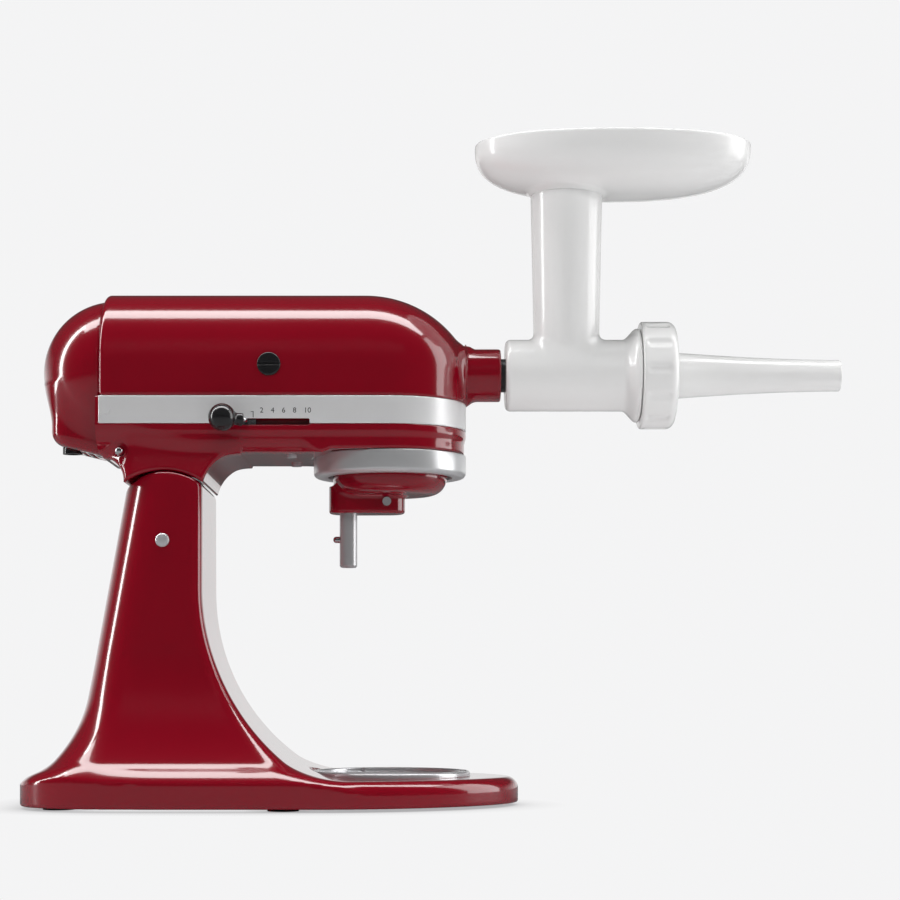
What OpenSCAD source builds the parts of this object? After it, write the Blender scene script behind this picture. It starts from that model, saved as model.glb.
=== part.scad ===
// Tilt-head stand mixer driving a food grinder with a sausage stuffing tube.
// Millimetres. X runs forward along the head, Y across the machine, Z up. The origin is on the table, on the
// axis of the planetary and of the bowl clamp plate.

/* [Stand] */
// Height of the motor and attachment-hub axis above the table
axis_h = 300; // [250:1:360]
// Reach of the foot in front of the bowl axis
foot_front = 89.6; // [74:0.1:110]
// Reach of the foot behind the bowl axis
foot_rear = 252; // [236:1:300]
// Width of the foot
foot_w = 194; // [160:1:240]
// Height of the flat part of the foot
foot_h = 20; // [16:0.5:24]
// Width of the column at its top
column_w = 116; // [96:1:140]
// Distance from the bowl axis back to the column's front face
column_back = 126; // [120:1:130]
// Distance from the bowl axis back to the hinge pin
hinge_back = 152.5; // [150:0.5:156]
// Drop from the motor axis to the hinge pin
hinge_drop = 118.8; // [112:0.1:126]
// Diameter of the hinge pin
hinge_pin_d = 9.4; // [7:0.1:12]
// Largest tilt of the head in degrees
head_tilt = 50; // [30:1:55]
// Diameter of the bowl clamp plate
clamp_plate_d = 112; // [94:1:135]
// Wall of the castings
casting_wall = 5; // [4:0.5:6]

/* [Head] */
// Width of the head
head_w = 110; // [106:1:132]
// Reach of the head's nose in front of the bowl axis
nose_reach = 53.2; // [50:0.1:64]
// Distance from the bowl axis back to the rear cap's seam
seam_back = 196; // [192:1:210]
// Depth of the lower housing below the motor axis
head_drop = 59; // [56:0.5:64]
// Height of the trim band
band_h = 18.8; // [15:0.1:22]
// Wall of the head's housings
head_wall = 4; // [3:0.5:5]
// Diameter of the attachment hub
hub_d = 36.6; // [32:0.1:44]
// Diameter of the hub's socket for an attachment's shank
shank_d = 23.2; // [19:0.1:27]
// Radius of the planetary trim ring
trim_ring_r = 53.2; // [51:0.1:58]

/* [Gears] */
// Gear module of the centre gear and its pinion
spur_module = 1.142857; // [0.96:0.01:1.2]
// Teeth of the centre gear
centre_teeth = 61; // [55:1:61]
// Teeth of the pinion on the worm wheel's shaft
pinion_teeth = 14; // [14:1:16]
// Offset of the beater shaft from the bowl axis
beater_offset = 29; // [25:0.5:31]
// Diameter of the beater shaft
beater_d = 12.3; // [10:0.1:14]

/* [Controls] */
// Diameter of the speed knob
speed_knob_d = 18.6; // [15:0.1:22]
// Travel of the speed lever
speed_travel = 40; // [32:1:40]
// Diameter of the brush caps
brush_cap_d = 15.8; // [13:0.1:19]

/* [Grinder] */
// Outer diameter of the barrel
barrel_d = 49.7; // [45:0.1:60]
// Bore of the barrel and of its feed tube
barrel_bore = 41; // [35:0.1:44]
// Distance from the bowl axis forward to the feed tube's axis
feed_x = 123.5; // [115:0.5:130]
// Height of the feed tube's top above the motor axis
feed_top = 126; // [105:1:151]
// Outer diameter of the feed tube at its top
feed_d = 50; // [46:0.5:60]
// Diameter of the ring nut
nut_d = 74.4; // [70:0.1:90]
// Length of the stuffing tube in front of the ring nut
tube_l = 115.9; // [95:0.1:140]
// Bore of the stuffing tube at its tip
tube_bore = 18; // [15:0.1:18]
// Length of the food tray
tray_l = 192.5; // [160:0.5:232]
// Width of the food tray
tray_w = 108; // [90:1:130]
// Depth of the food tray
tray_depth = 32.8; // [27:0.1:40]

/* [Hidden] */
$fn = 72;
RED = [0.62, 0.02, 0.09];
STEEL = [0.75, 0.75, 0.77];
CHROME = [0.85, 0.86, 0.88];
BLACK = [0.08, 0.08, 0.09];
WHITE = [0.95, 0.95, 0.94];
BRONZE = [0.72, 0.52, 0.28];
COPPER = [0.72, 0.38, 0.2];
IRON = [0.4, 0.4, 0.43];

slack = 0.05;            // radial clearance of a running fit
gap = 0.3;               // clearance between curved faces on different bodies
cut = 1;                 // how far a cutting solid runs past the face it cuts

// Stand
foot_half = foot_w / 2;
foot_lift = 2;           // the casting's rim above the table
foot_side_h = 12;        // straight side of the foot
front_mid = 45;          // the foot's front curve starts this far behind the bowl axis
rear_mid = 120;          // and its rear curve this far behind
pad_r = 12;
pad_places = [[-222, -58], [-222, 58], [-70, -foot_half + 22], [-70, foot_half - 22], [0, 0]];
hinge_z = axis_h - hinge_drop;
arch_r = 46.6;
arch_gap = 0.8;
drum_r = 21;
tongue_w = 32;
tongue_l = 20;
// The tongue's way and the foot of its back face with the head tilted right up.
tongue_way = [cos(90 + head_tilt), sin(90 + head_tilt)];
tongue_back = (tongue_l / 2 + 0.6) * [cos(180 + head_tilt), sin(180 + head_tilt)];
column_half = column_w / 2;
flare_r = 150;           // radius of the column's front flare
flare_z = 150;           // height at which the front flare starts
side_flare_z = 142;
rear_flare_x = -foot_rear - 34.3;
rear_flare_z = 75;
rear_flare_r = 80;
plate_z = foot_h - 0.5;
plate_h = 4.3;
plate_r = clamp_plate_d / 2;
plate_rim = 6;
plate_floor = 1.5;
plate_screw_r = 2.9;
plate_screw_head = [5, 1];       // radius and height, sunk flush in the plate's floor
plate_screw_places = [for (a = [60, 180, 300]) plate_r * 0.6 * [cos(a), sin(a)]];

// Head, measured from the motor axis
half = head_w / 2;
band_top = -21;
band_bottom = band_top - band_h;
band_t = 1.5;
floor_t = 5;
top_arc_r = 81;
top_arc_x = -16.8;
ring_top = 2.3 - head_drop;
ring_bottom = -72;
carrier_top = -69;
carrier_r = 40;
carrier_drop = 97;
shaft_drop = 134.4;
cross_pin_up = 19.5;     // height of the beater shaft's cross pin above its end
cross_pin_r = 2.3;
cross_pin_out = 4.6;
dome_r = half - 4;
dome_x = 5.6 - seam_back;
lock_x = -182.5;
lock_z = -58;
lock_rod_r = 3;
brush_x = -81;
brush_holder_r = 6.5;
brush_plug_r = 5.4;
shaft_bearing_r = 12;
shaft_bearing_h = 10;
lever_x = -96;
lever_z = -38.9;
lever_r = 1.5;
knob_x = -111;
knob_out = 16;
lever_slot = [lever_x - 4, lever_x + speed_travel + 2.5];
lever_slot_h = 2.2;      // half its height
gland_x = -222;
case_screw_x = -67;
case_screw_y = 30;
carrier_pin_at = [-2, 0, -89];
carrier_pin_r = 3;

// Gears, measured from the motor axis
pressure = 25;
spur_distance = spur_module * (centre_teeth + pinion_teeth) / 2;
wheel_teeth = 24;
worm_starts = 3;
wheel_r = 20;
worm_r = 6;
wheel_y = worm_r + wheel_r;
wheel_x = -sqrt(spur_distance * spur_distance - wheel_y * wheel_y);
worm_pitch = 2 * PI * wheel_r / wheel_teeth;
worm_lead = worm_pitch * worm_starts;
worm_l = 24;
spur_top = -22;
spur_t = 8;
planet_teeth = 14;
ring_teeth = 52;
planet_module = 2 * beater_offset / (ring_teeth - planet_teeth);
planet_top = -60.5;
planet_t = 7;
ring_gear_r = trim_ring_r - 6.2;
ring_gear_floor = planet_top - planet_t - 0.5;
bevel_big = 24;
bevel_small = 16;
bevel_r = 18;            // pitch radius of the big bevel gear, and the small one's distance from the apex
bevel_small_r = bevel_r * bevel_small / bevel_big;
bevel_t = 5;
main_shaft_r = 6;
wheel_shaft_r = 4;

// Motor, measured along X
core_x = [-155, -105];
core_r = 23.8;
winding_r = 11.6;        // end windings, inside the field coils
stator_r = 42;
motor_shaft_r = 4;
worm_shaft_r = 3.4;
front_plate_x = -66;
rear_plate_x = -194;
bearing_t = 6;
bearing_r = 11;

// Hub and grinder, measured from the motor axis
hub_end = nose_reach + 24.15;
hub_knob_x = hub_end - 12.3;
knob_screw_r = 3;
knob_screw_end = hub_d / 2 + 14;
shank_r = shank_d / 2;
socket_x = [27, 47];
socket_w = 10.2;
drive_w = 9.6;
barrel_x = hub_end + 3.15;
barrel_r = barrel_d / 2;
bore_r = barrel_bore / 2;
nut_x = barrel_x + 93.8;
nut_l = 24.5;
plate_hole_r = 2.4;
thread_r = nut_d / 2 - 7.5;
tube_x = nut_x + 16;
tube_root_r = 16.1;
tube_tip_r = tube_bore / 2 + 1.9;
hub_shaft_r = 9;
hub_stub_r = 5;
hub_bearing_r = 12;
auger_turn_l = 27;       // length of one turn of the auger's flight
spigot_r = bore_r - gap;
throat_r = spigot_r - 2.2;
feed_r = feed_d / 2;
tray_x = feed_x + 32.25;
tray_z = feed_top + 0.2;

// ---------- shapes that repeat ----------

function arc(c, r, a0, a1, n = 12) =
    [for (i = [0:n]) let (a = a0 + (a1 - a0) * i / n) [c[0] + r * cos(a), c[1] + r * sin(a)]];
function power(v, n) = sign(v) * pow(abs(v), 2 / n);
function oval(a, b, n, a0 = 0, a1 = 352.5, x = 0, step = 7.5) =
    [for (t = [a0:step:a1]) [x + a * power(cos(t), n), b * power(sin(t), n)]];
function involute(a) = (tan(a) - a * PI / 180) * 180 / PI;

// Half the angle that a tooth takes up at radius q.
function tooth_half(n, r, play, q) =
    let (base = r * cos(pressure), at = max(q, base))
    90 / n - play / (2 * r) * 180 / PI + involute(pressure) - involute(acos(base / at));

// Outline of a spur gear: pitch radius r, a tip and a root distance, and the play taken off each tooth.
function gear_outline(n, r, tip, root, play, k = 3) =
    [for (i = [0:n - 1]) for (side = [-1, 1]) for (j = [0:k])
        let (q = side < 0 ? r - root + (tip + root) * j / k : r + tip - (tip + root) * j / k,
             a = i * 360 / n + side * tooth_half(n, r, play, q))
        [q * cos(a), q * sin(a)]];

// One of the two spur gears between the worm wheel's shaft and the planetary shaft.
module spur_outline(n)
    polygon(gear_outline(n, n * spur_module / 2, spur_module, 1.15 * spur_module, 0.25));

// Outline with straight-sided teeth, for the bevel gears and the worm.
function teeth_outline(n, tip, root, tip_half, root_half) =
    [for (i = [0:n - 1]) for (p = [[root, -root_half], [tip, -tip_half], [tip, tip_half], [root, root_half]])
        let (a = i * 360 / n + p[1]) [p[0] * cos(a), p[0] * sin(a)]];

module at_axis() translate([0, 0, axis_h]) children();
module along_x(x) translate([x, 0, 0]) rotate([0, 90, 0]) children();
module x_rod(r, x0, x1) along_x(x0) cylinder(r = r, h = x1 - x0);
module y_rod(r, y0, y1) translate([0, y0, 0]) rotate([-90, 0, 0]) cylinder(r = r, h = y1 - y0);
module z_rod(r, z0, z1) translate([0, 0, z0]) cylinder(r = r, h = z1 - z0);
module z_tube(r, hole, z0, z1) difference() {
    z_rod(r, z0, z1);
    z_rod(hole, z0 - cut, z1 + cut);
}
module x_tube(r, hole, x0, x1) difference() {
    x_rod(r, x0, x1);
    x_rod(hole, x0 - cut, x1 + cut);
}
module side_slab(w) rotate([90, 0, 0]) linear_extrude(w, center = true) children();
module x_slab(x0, x1) translate([x0, 0, 0]) rotate([90, 0, 90]) linear_extrude(x1 - x0) children();
module box(lo, hi) translate(lo) cube(hi - lo);
module both_sides() for (s = [-1, 1]) scale([1, s, 1]) children();
module strut(p, q, r) {
    d = q - p;
    translate(p) rotate([0, acos(d[2] / norm(d)), atan2(d[1], d[0])]) cylinder(r = r, h = norm(d));
}
// A solid turned about the X axis from [radius, x] points.
module x_turned(points) rotate([0, 90, 0]) rotate_extrude() polygon(points);

// ---------- stand ----------

// Outline of the foot, drawn in by inset.
function foot_outline(inset) = concat(
    oval(foot_front + front_mid - inset, foot_half - inset, 1.85, -90, 90, -front_mid),
    oval(foot_rear - rear_mid - inset, foot_half - inset, 5, 90, 270, -rear_mid));

module foot_block(inset, z0, z1) translate([0, 0, z0]) linear_extrude(z1 - z0) polygon(foot_outline(inset));

// Side view of the column, drawn in by inset; its top follows the arch about the hinge pin.
module column_side(inset = 0) {
    back = hinge_back + 28 - inset;
    front_end = acos((hinge_back - column_back - inset) / (arch_r - inset));
    back_end = 180 - acos((back - hinge_back) / (arch_r - inset));
    flare = rear_flare_r + inset;
    polygon(concat(
        arc([flare_r - column_back, flare_z], flare_r + inset, 240, 180),
        arc([-hinge_back, hinge_z], arch_r - inset, front_end, back_end, 16),
        arc([rear_flare_x, rear_flare_z], flare, 0, -60),
        [[rear_flare_x + flare * cos(60), foot_lift], [-50 - inset, foot_lift]]));
}

module column_front(inset = 0) {
    side_r = (pow(foot_half - 60, 2) + pow(side_flare_z - foot_h, 2)) / (2 * (foot_half - 60));
    waist = column_half + 2 - inset;
    for (s = [-1, 1]) scale([s, 1]) polygon(concat(
        [[0, foot_lift]],
        arc([waist + side_r, side_flare_z], side_r, 180 + asin((side_flare_z - foot_h) / side_r), 180, 10),
        [[column_half - 1 - inset, hinge_z + 50], [0, hinge_z + 50]]));
}

module column_block(inset = 0) intersection() {
    side_slab(foot_w * 2) column_side(inset);
    x_slab(-foot_rear, foot_front) column_front(inset);
    foot_block(2 + inset, foot_lift, axis_h);
}

module pedestal() color(RED) {
    w = casting_wall;
    difference() {
        union() {
            foot_block(0, foot_lift, foot_side_h);
            foot_block(1.5, foot_side_h - cut, foot_h - 3.5);
            foot_block(4.5, foot_h - 4, foot_h - 1.2);
            foot_block(8, foot_h - 2, foot_h);
            column_block();
        }
        difference() {
            foot_block(w, foot_lift - cut, foot_h - w);
            for (p = pad_places) translate(p) z_rod(pad_r + 3, foot_lift - cut, foot_h);
        }
        intersection() {
            column_block(w);
            box([-foot_rear, -foot_half, foot_lift - cut], [0, foot_half, hinge_z - drum_r - 14]);
        }
        for (p = pad_places) translate(p) z_rod(pad_r, foot_lift - cut, 5);
        // slot for the head's hinge drum and tongue, and the pin's bore
        translate([-hinge_back, 0, hinge_z]) {
            y_rod(drum_r + 0.6, -tongue_w / 2 - 0.5, tongue_w / 2 + 0.5);
            side_slab(tongue_w + 1) polygon([[0, 0], [70 * cos(60), 70 * sin(60)], [0, 90],
                [100 * cos(130), 100 * sin(130)], tongue_back + 75 * tongue_way, tongue_back]);
            y_rod(hinge_pin_d / 2, -foot_half, foot_half);
        }
        z_rod(plate_r + gap, plate_z, plate_z + plate_h + cut);
        for (p = plate_screw_places) translate(p) z_rod(plate_screw_r, foot_h - w - cut, foot_h);
    }
}

module rubber_feet() color(BLACK) for (p = pad_places) translate(p) {
    z_rod(pad_r, 1.5, 5);
    z_rod(pad_r - 1.5, 0, 1.5);
}

module bowl_clamp_plate() color(CHROME) difference() {
    floor_z = plate_z + plate_floor;
    rim_z = plate_z + plate_h;
    rotate_extrude() polygon(concat([[0, plate_z], [plate_r, plate_z]],
        arc([plate_r - 2, rim_z - 2], 2, 0, 90, 6),
        arc([plate_r - plate_rim + 1, rim_z - 1], 1, 90, 180, 4),
        [[plate_r - plate_rim, floor_z], [0, floor_z]]));
    for (a = [0, 120, 240]) rotate(a)
        box([plate_r - plate_rim - 3, -7, floor_z], [plate_r - 2.5, 7, rim_z + cut]);
    for (p = plate_screw_places) translate(p) {
        z_rod(plate_screw_r, plate_z - cut, floor_z);
        z_rod(plate_screw_head[0], floor_z - plate_screw_head[1] - 0.1, floor_z + cut);
    }
}

module clamp_plate_screws() color(STEEL) for (p = plate_screw_places) translate(p) {
    head_z = plate_z + plate_floor - 0.1;
    difference() {
        union() {
            z_rod(plate_screw_r, foot_h - casting_wall, head_z - 0.2);
            z_rod(plate_screw_head[0], head_z - plate_screw_head[1], head_z);
        }
        box([-6, -0.6, head_z - 0.6], [6, 0.6, head_z + cut]);
    }
}

module hinge_pin() color(CHROME) translate([-hinge_back, 0, hinge_z]) {
    y_rod(hinge_pin_d / 2, -column_half - 2, column_half + 2);
}

// ---------- head ----------

module head_plan(inset = 0) {
    r = half - inset;
    translate([-seam_back, -r]) square([seam_back + nose_reach - half, 2 * r]);
    translate([nose_reach - half, 0]) circle(r = r);
}

// The upper housing's outside, drawn in by inset.
module upper_form(inset = 0) intersection() {
    foot = band_top - (inset > 0 ? cut : 0);
    x_slab(-seam_back - (inset > 0 ? cut : 0), nose_reach + cut) union() {
        circle(r = half - inset);
        translate([-half + inset, foot]) square([head_w - 2 * inset, -band_top + cut]);
    }
    translate([0, 0, foot]) linear_extrude(head_w) union() {
        head_plan(inset);
        translate([-seam_back - cut, -half + inset]) square([cut * 2, head_w - 2 * inset]);
    }
    side_slab(head_w + 2) union() {
        translate([-seam_back - cut, foot]) square([seam_back + top_arc_x + cut, half - foot - inset]);
        intersection() {
            translate([top_arc_x, half - top_arc_r]) circle(r = top_arc_r - inset);
            translate([top_arc_x - cut, foot]) square([nose_reach - top_arc_x + 2, half + head_w]);
        }
    }
}

module head_upper_housing() color(RED) at_axis() difference() {
    union() {
        difference() {
            upper_form();
            upper_form(head_wall);
        }
        intersection() {
            x_rod(shank_r + 5, bevel_r + 2.5, hub_end);
            upper_form(1);
        }
        x_rod(hub_d / 2, nose_reach - 12, hub_end);
    }
    x_rod(shank_r, socket_x[1] + 0.5, hub_end + cut);
    x_rod(hub_bearing_r, 17, socket_x[1] + 1);
    both_sides() translate([brush_x, 0, 0]) y_rod(brush_holder_r, half - head_wall - cut, half + cut);
    translate([hub_knob_x, 0, 0]) y_rod(knob_screw_r + slack, 0, hub_d);
    box([hub_end - 14, -20, band_top - 5], [hub_end, 20, band_top]);
}

// Section of the lower housing across the head, with rounded lower edges.
module lower_section(inset, r) {
    w = half - inset;
    z = -head_drop + (inset > 0 ? floor_t : 0);
    translate([-w, z + r]) square([2 * w, band_top - z - r]);
    translate([-w + r, z]) square([2 * (w - r), r + cut]);
    for (s = [-1, 1]) translate([s * (w - r), z + r]) circle(r = r);
}

module neck_side() difference() {
    translate([-seam_back, -85]) square([seam_back - 100, 30]);
    translate([-column_back + 26, -head_drop - 26]) circle(r = 26);
    translate([-seam_back - 1.5, -79]) circle(r = 18);
    translate([-hinge_back, -hinge_drop]) circle(r = arch_r + arch_gap);
}

module head_lower_housing() color(RED) at_axis() difference() {
    union() {
        difference() {
            intersection() {
                x_slab(-seam_back, nose_reach) lower_section(0, 10);
                translate([0, 0, -head_drop]) linear_extrude(head_drop + band_top) head_plan();
            }
            intersection() {
                x_slab(-seam_back - cut, nose_reach) lower_section(head_wall, 6);
                translate([0, 0, -head_drop]) linear_extrude(head_drop + band_top + cut) union() {
                    head_plan(head_wall);
                    translate([-seam_back - cut, -half + head_wall])
                        square([cut * 2, head_w - 2 * head_wall]);
                }
            }
            // recess that the trim band sits in
            translate([0, 0, band_bottom]) linear_extrude(band_h + cut) difference() {
                translate([-seam_back - cut, -half - cut]) square([seam_back + nose_reach + 2, head_w + 2]);
                head_plan(band_t);
                translate([-seam_back - cut, -half + band_t]) square([cut * 2, head_w - 2 * band_t]);
            }
        }
        side_slab(head_w - 10) neck_side();
        // drum and tongue of the hinge
        translate([-hinge_back, 0, -hinge_drop]) {
            y_rod(drum_r, -tongue_w / 2, tongue_w / 2);
            box([-tongue_l / 2, -tongue_w / 2, 0], [tongue_l / 2, tongue_w / 2, hinge_drop - 62]);
        }
        // cradles for the stator, and the boss for the planetary shaft's bearing
        for (x = [core_x[0] + 3, core_x[1] - 7]) difference() {
            box([x, -38, -head_drop + 1], [x + 4, 38, -20]);
            x_rod(stator_r, x - cut, x + 5);
        }
        z_rod(shaft_bearing_r + 4, -head_drop, -head_drop + shaft_bearing_h);
        box([lock_x - 5, -half + 4, lock_z - 6], [lock_x + 7, half - 4, lock_z + 8]);
    }
    translate([-hinge_back, 0, -hinge_drop]) y_rod(hinge_pin_d / 2 + slack, -tongue_w, tongue_w);
    z_rod(shaft_bearing_r, -head_drop - cut, -head_drop + shaft_bearing_h + cut);
    translate([0, 0, -head_drop - cut]) cylinder(r = trim_ring_r + 0.1, h = ring_top + head_drop + cut);
    translate([lock_x, 0, lock_z]) y_rod(lock_rod_r + slack, -half - cut, half + cut);
    translate([lock_x, 0, lock_z]) y_rod(6, -half - cut, -half + 8);
    // slot for the speed lever
    box([lever_slot[0], -half - cut, lever_z - lever_slot_h],
        [lever_slot[1], -half + head_wall + cut, lever_z + lever_slot_h]);
    for (y = [-1, 1] * case_screw_y) translate([case_screw_x, y, 0])
        z_rod(2, -head_drop - cut, -head_drop + floor_t + cut);
}

// Lower part of the rear cap, below its dome, drawn in by inset.
module cap_skirt(inset) intersection() {
    back = -seam_back - 40 + inset;
    side_slab(2 * (34 - inset)) polygon([[-seam_back + cut, band_top], [back, -10], [back, -44],
        [back + 5, -50 + inset], [-seam_back + cut, -60 + inset]]);
    translate([dome_x, 0, -head_w]) cylinder(r = dome_r - inset, h = head_w * 2);
}

module rear_cap() color(RED) at_axis() difference() {
    union() {
        translate([dome_x, 0, 0]) sphere(r = dome_r);
        cap_skirt(0);
    }
    translate([dome_x, 0, 0]) sphere(r = dome_r - head_wall + 1);
    cap_skirt(3);
    box([-seam_back, -head_w, -head_w], [0, head_w, head_w]);
    translate([gland_x, 0, 0]) z_rod(7, -70, -30);
}

// Strip that runs along both sides and round the nose.
module band_outline() difference() {
    head_plan();
    head_plan(band_t);
    translate([-seam_back - cut, -half + band_t]) square([cut * 2, head_w - 2 * band_t]);
}

module trim_band() color(STEEL) at_axis() difference() {
    translate([0, 0, band_bottom]) linear_extrude(band_h) band_outline();
    box([lever_slot[0], -half - cut, band_bottom - cut], [lever_slot[1], -half + 4, lever_z + lever_slot_h]);
}

module trim_band_screws() color(CHROME) at_axis() both_sides()
    translate([-seam_back + 5, 0, (band_top + band_bottom) / 2]) {
        y_rod(3.2, half, half + 1.4);
    }

module brush_caps() color(BLACK) at_axis() both_sides() translate([brush_x, 0, 0]) difference() {
    union() {
        y_rod(brush_cap_d / 2, half, half + 2.2);
        y_rod(brush_plug_r, half - 8, half + cut);
    }
    box([-brush_cap_d, half + 1, -1], [brush_cap_d, half + 3, 1]);
}

module brush_holders() color(BRONZE) at_axis() both_sides() translate([brush_x, 0, 0]) difference() {
    y_rod(brush_holder_r, 15, half - 0.5);
    box([-3.2, 14, -3.7], [3.2, half - 8.5, 3.7]);
    y_rod(brush_plug_r, half - 8.5, half);
}

module carbon_brushes() color(BLACK) at_axis() both_sides()
    box([brush_x - 3, 13.6, -3.5], [brush_x + 3, 28, 3.5]);

module motor_stator() color(IRON) at_axis() difference() {
    x_tube(stator_r, core_r + 0.8, core_x[0], core_x[1]);
    for (a = [0, 180]) rotate([a, 0, 0]) for (y = [-32, 24])
        box([core_x[0] - cut, y, 12], [core_x[1] + cut, y + 8, 22]);
}

module field_coils() color(COPPER) at_axis() for (a = [0, 180]) rotate([a, 0, 0]) difference() {
    box([core_x[0] - 11, -32, 12], [core_x[1] + 10, 32, 22]);
    box([core_x[0] - 2, -24, 11], [core_x[1] + 2, 24, 23]);
}

module motor_bearings() color(STEEL) at_axis() for (x = [front_plate_x, rear_plate_x])
    x_tube(bearing_r, motor_shaft_r + slack, x, x + bearing_t);

module bearing_brackets() color(IRON) at_axis() for (x = [front_plate_x, rear_plate_x]) difference() {
    box([x, -44, -head_drop + floor_t], [x + bearing_t, 44, 22]);
    x_rod(bearing_r, x - cut, x + bearing_t + cut);
}

// Frame that carries the worm wheel's shaft and the top of the planetary shaft.
module gearbox_bracket() color(IRON) at_axis() difference() {
    union() {
        box([-59.6, -36, -42], [20, 40, -36]);
        box([-59.6, wheel_y - 9, -42], [wheel_x - wheel_r - 2, wheel_y + 9, 12]);
        box([-59.6, wheel_y - 9, 7], [wheel_x + 8, wheel_y + 9, 12]);
        for (x = [-56, 12]) for (y = [-32, 32]) translate([x, y, 0]) z_rod(4, -head_drop + floor_t, -41);
    }
    z_rod(10, -43, -35);
    translate([wheel_x, wheel_y, 0]) z_rod(wheel_shaft_r + slack, -43, 13);
}

module planetary_bearings() color(BRONZE) at_axis() {
    z_tube(shaft_bearing_r, main_shaft_r + slack, -head_drop, -head_drop + shaft_bearing_h);
    z_tube(10, main_shaft_r + slack, -42, -36);
}

module hub_bearing() color(BRONZE) at_axis() x_tube(hub_bearing_r, hub_shaft_r + slack, 22, 38);

module planetary_trim_ring() color(STEEL) at_axis() rotate_extrude() {
    lip_r = trim_ring_r - 10;
    polygon(concat(
        [[ring_gear_r, ring_top], [ring_gear_r, ring_gear_floor],
         [lip_r, ring_gear_floor], [lip_r, ring_bottom]],
        arc([trim_ring_r - 3, ring_bottom + 3], 3, -90, 0, 6), [[trim_ring_r, ring_top]]));
}

module internal_ring_gear() color(STEEL) at_axis() translate([0, 0, ring_gear_floor])
    linear_extrude(planet_t + 1) difference() {
        circle(r = ring_gear_r);
        polygon(gear_outline(ring_teeth, ring_teeth * planet_module / 2, 1.25 * planet_module,
            0.8 * planet_module, -0.3));
    }

module housing_screws() color(CHROME) at_axis()
    for (y = [-1, 1] * case_screw_y) translate([case_screw_x, y, 0]) {
        z_rod(1.95, -head_drop, -head_drop + floor_t);
        z_rod(3.6, -head_drop - 1.6, -head_drop);
    }

module speed_control_board() color([0.1, 0.35, 0.2]) at_axis() {
    box([-212, -26, -18], [-209, 26, 18]);
    for (y = [-20, 20]) for (z = [-12, 12]) translate([0, y, z]) x_rod(2, -210, rear_plate_x);
}

module cord_gland() color(BLACK) at_axis() translate([gland_x, 0, 0]) difference() {
    union() {
        z_rod(6.9, -55, -44);
        z_rod(9, -44, -41);
    }
    z_rod(3.6, -56, -40);
}

// ---------- speed lever and head lock ----------

module speed_knob() color(BLACK) at_axis() {
    c = [knob_x, -half - knob_out, lever_z + 1];
    translate(c) sphere(r = speed_knob_d / 2);
    strut(c, [knob_x + speed_knob_d / 2 + 4, c[1] + 3.5, c[2] - 0.3], 3.2);
}

module speed_lever_rod() color(CHROME) at_axis() {
    out = -half - knob_out + 4;
    translate([lever_x, 0, lever_z]) y_rod(lever_r, out - 1, -48.6);
    knob_end = [knob_x + speed_knob_d / 2 + 3, out + 1, lever_z + 0.6];
    strut(knob_end, [lever_x, out + 1, lever_z], lever_r * 0.95);
}

module speed_link() color(STEEL) at_axis() difference() {
    box([-186, -48.6, lever_z - 4], [-90, -46.6, lever_z + 4]);
    box([-182, -50, lever_z - 1.5], [-150, -45, lever_z + 1.5]);
}

module lock_rod() color(CHROME) at_axis() translate([lock_x, 0, lock_z])
    y_rod(lock_rod_r, -half + 2, half + 6);

module lock_lever_arm() color(CHROME) at_axis() translate([lock_x, half + 3, lock_z]) difference() {
    union() {
        y_rod(6, 0, 3);
        box([0, 0.5, -2], [28, 2.5, 2]);
        translate([28, 0, 0]) y_rod(6, -1, 9);
    }
    y_rod(lock_rod_r, -cut, 4);
}

// ---------- motor armature ----------

module motor_shaft() color(STEEL) at_axis() {
    x_rod(motor_shaft_r, rear_plate_x - 4, front_plate_x + bearing_t + 2);
    x_rod(worm_shaft_r, front_plate_x, wheel_x + worm_l / 2 + 1);
}

module armature_core() color(COPPER) at_axis() difference() {
    union() {
        along_x(core_x[0]) linear_extrude(core_x[1] - core_x[0]) difference() {
            circle(r = core_r);
            for (a = [0:30:330]) rotate(a) translate([core_r - 5, -1]) square([7, 2]);
        }
        x_rod(winding_r, core_x[0] - 9, core_x[1] + 9);
    }
    x_rod(motor_shaft_r, core_x[0] - 10, core_x[1] + 10);
}

module commutator() color(COPPER) at_axis() along_x(brush_x - 11) linear_extrude(22) difference() {
    circle(r = 13.3);
    for (a = [0:15:345]) rotate(a) translate([12, -0.3]) square([3, 0.6]);
    circle(r = motor_shaft_r);
}

module governor() color(STEEL) at_axis() difference() {
    union() {
        x_rod(7, -177, -168);
        for (a = [45, 225]) rotate([a, 0, 0]) box([-176, -5, 5], [-169, 5, 15]);
    }
    x_rod(motor_shaft_r, -178, -167);
}

module cooling_fan() color(BLACK) at_axis() difference() {
    union() {
        x_rod(9, -187, -179);
        x_rod(30, -181, -179);
        for (a = [0:40:320]) rotate([a, 0, 0]) box([-187, -0.8, 8], [-180, 0.8, 32]);
    }
    x_rod(motor_shaft_r, -188, -178);
}

module drive_worm() color(STEEL) at_axis() along_x(wheel_x - worm_l / 2) difference() {
    turn = 360 * worm_l / worm_lead;
    rotate(30 - turn / 2) linear_extrude(worm_l, twist = -turn, slices = 24)
        polygon(teeth_outline(worm_starts, worm_r + 1.2, worm_r - 1.7, 12, 36));
    translate([0, 0, -cut]) cylinder(r = worm_shaft_r, h = worm_l + 2);
}

// ---------- worm wheel's shaft ----------

module worm_wheel() color(BRONZE) at_axis() translate([wheel_x, wheel_y, -4]) difference() {
    turn = 8 * worm_lead / (2 * PI * worm_r) / wheel_r * 180 / PI;
    rotate(-turn / 2) linear_extrude(8, twist = -turn, slices = 2)
        polygon(gear_outline(wheel_teeth, wheel_r, 1.2, 1.7, 0.9, 2));
    translate([0, 0, -cut]) cylinder(r = wheel_shaft_r, h = 10);
}

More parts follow.
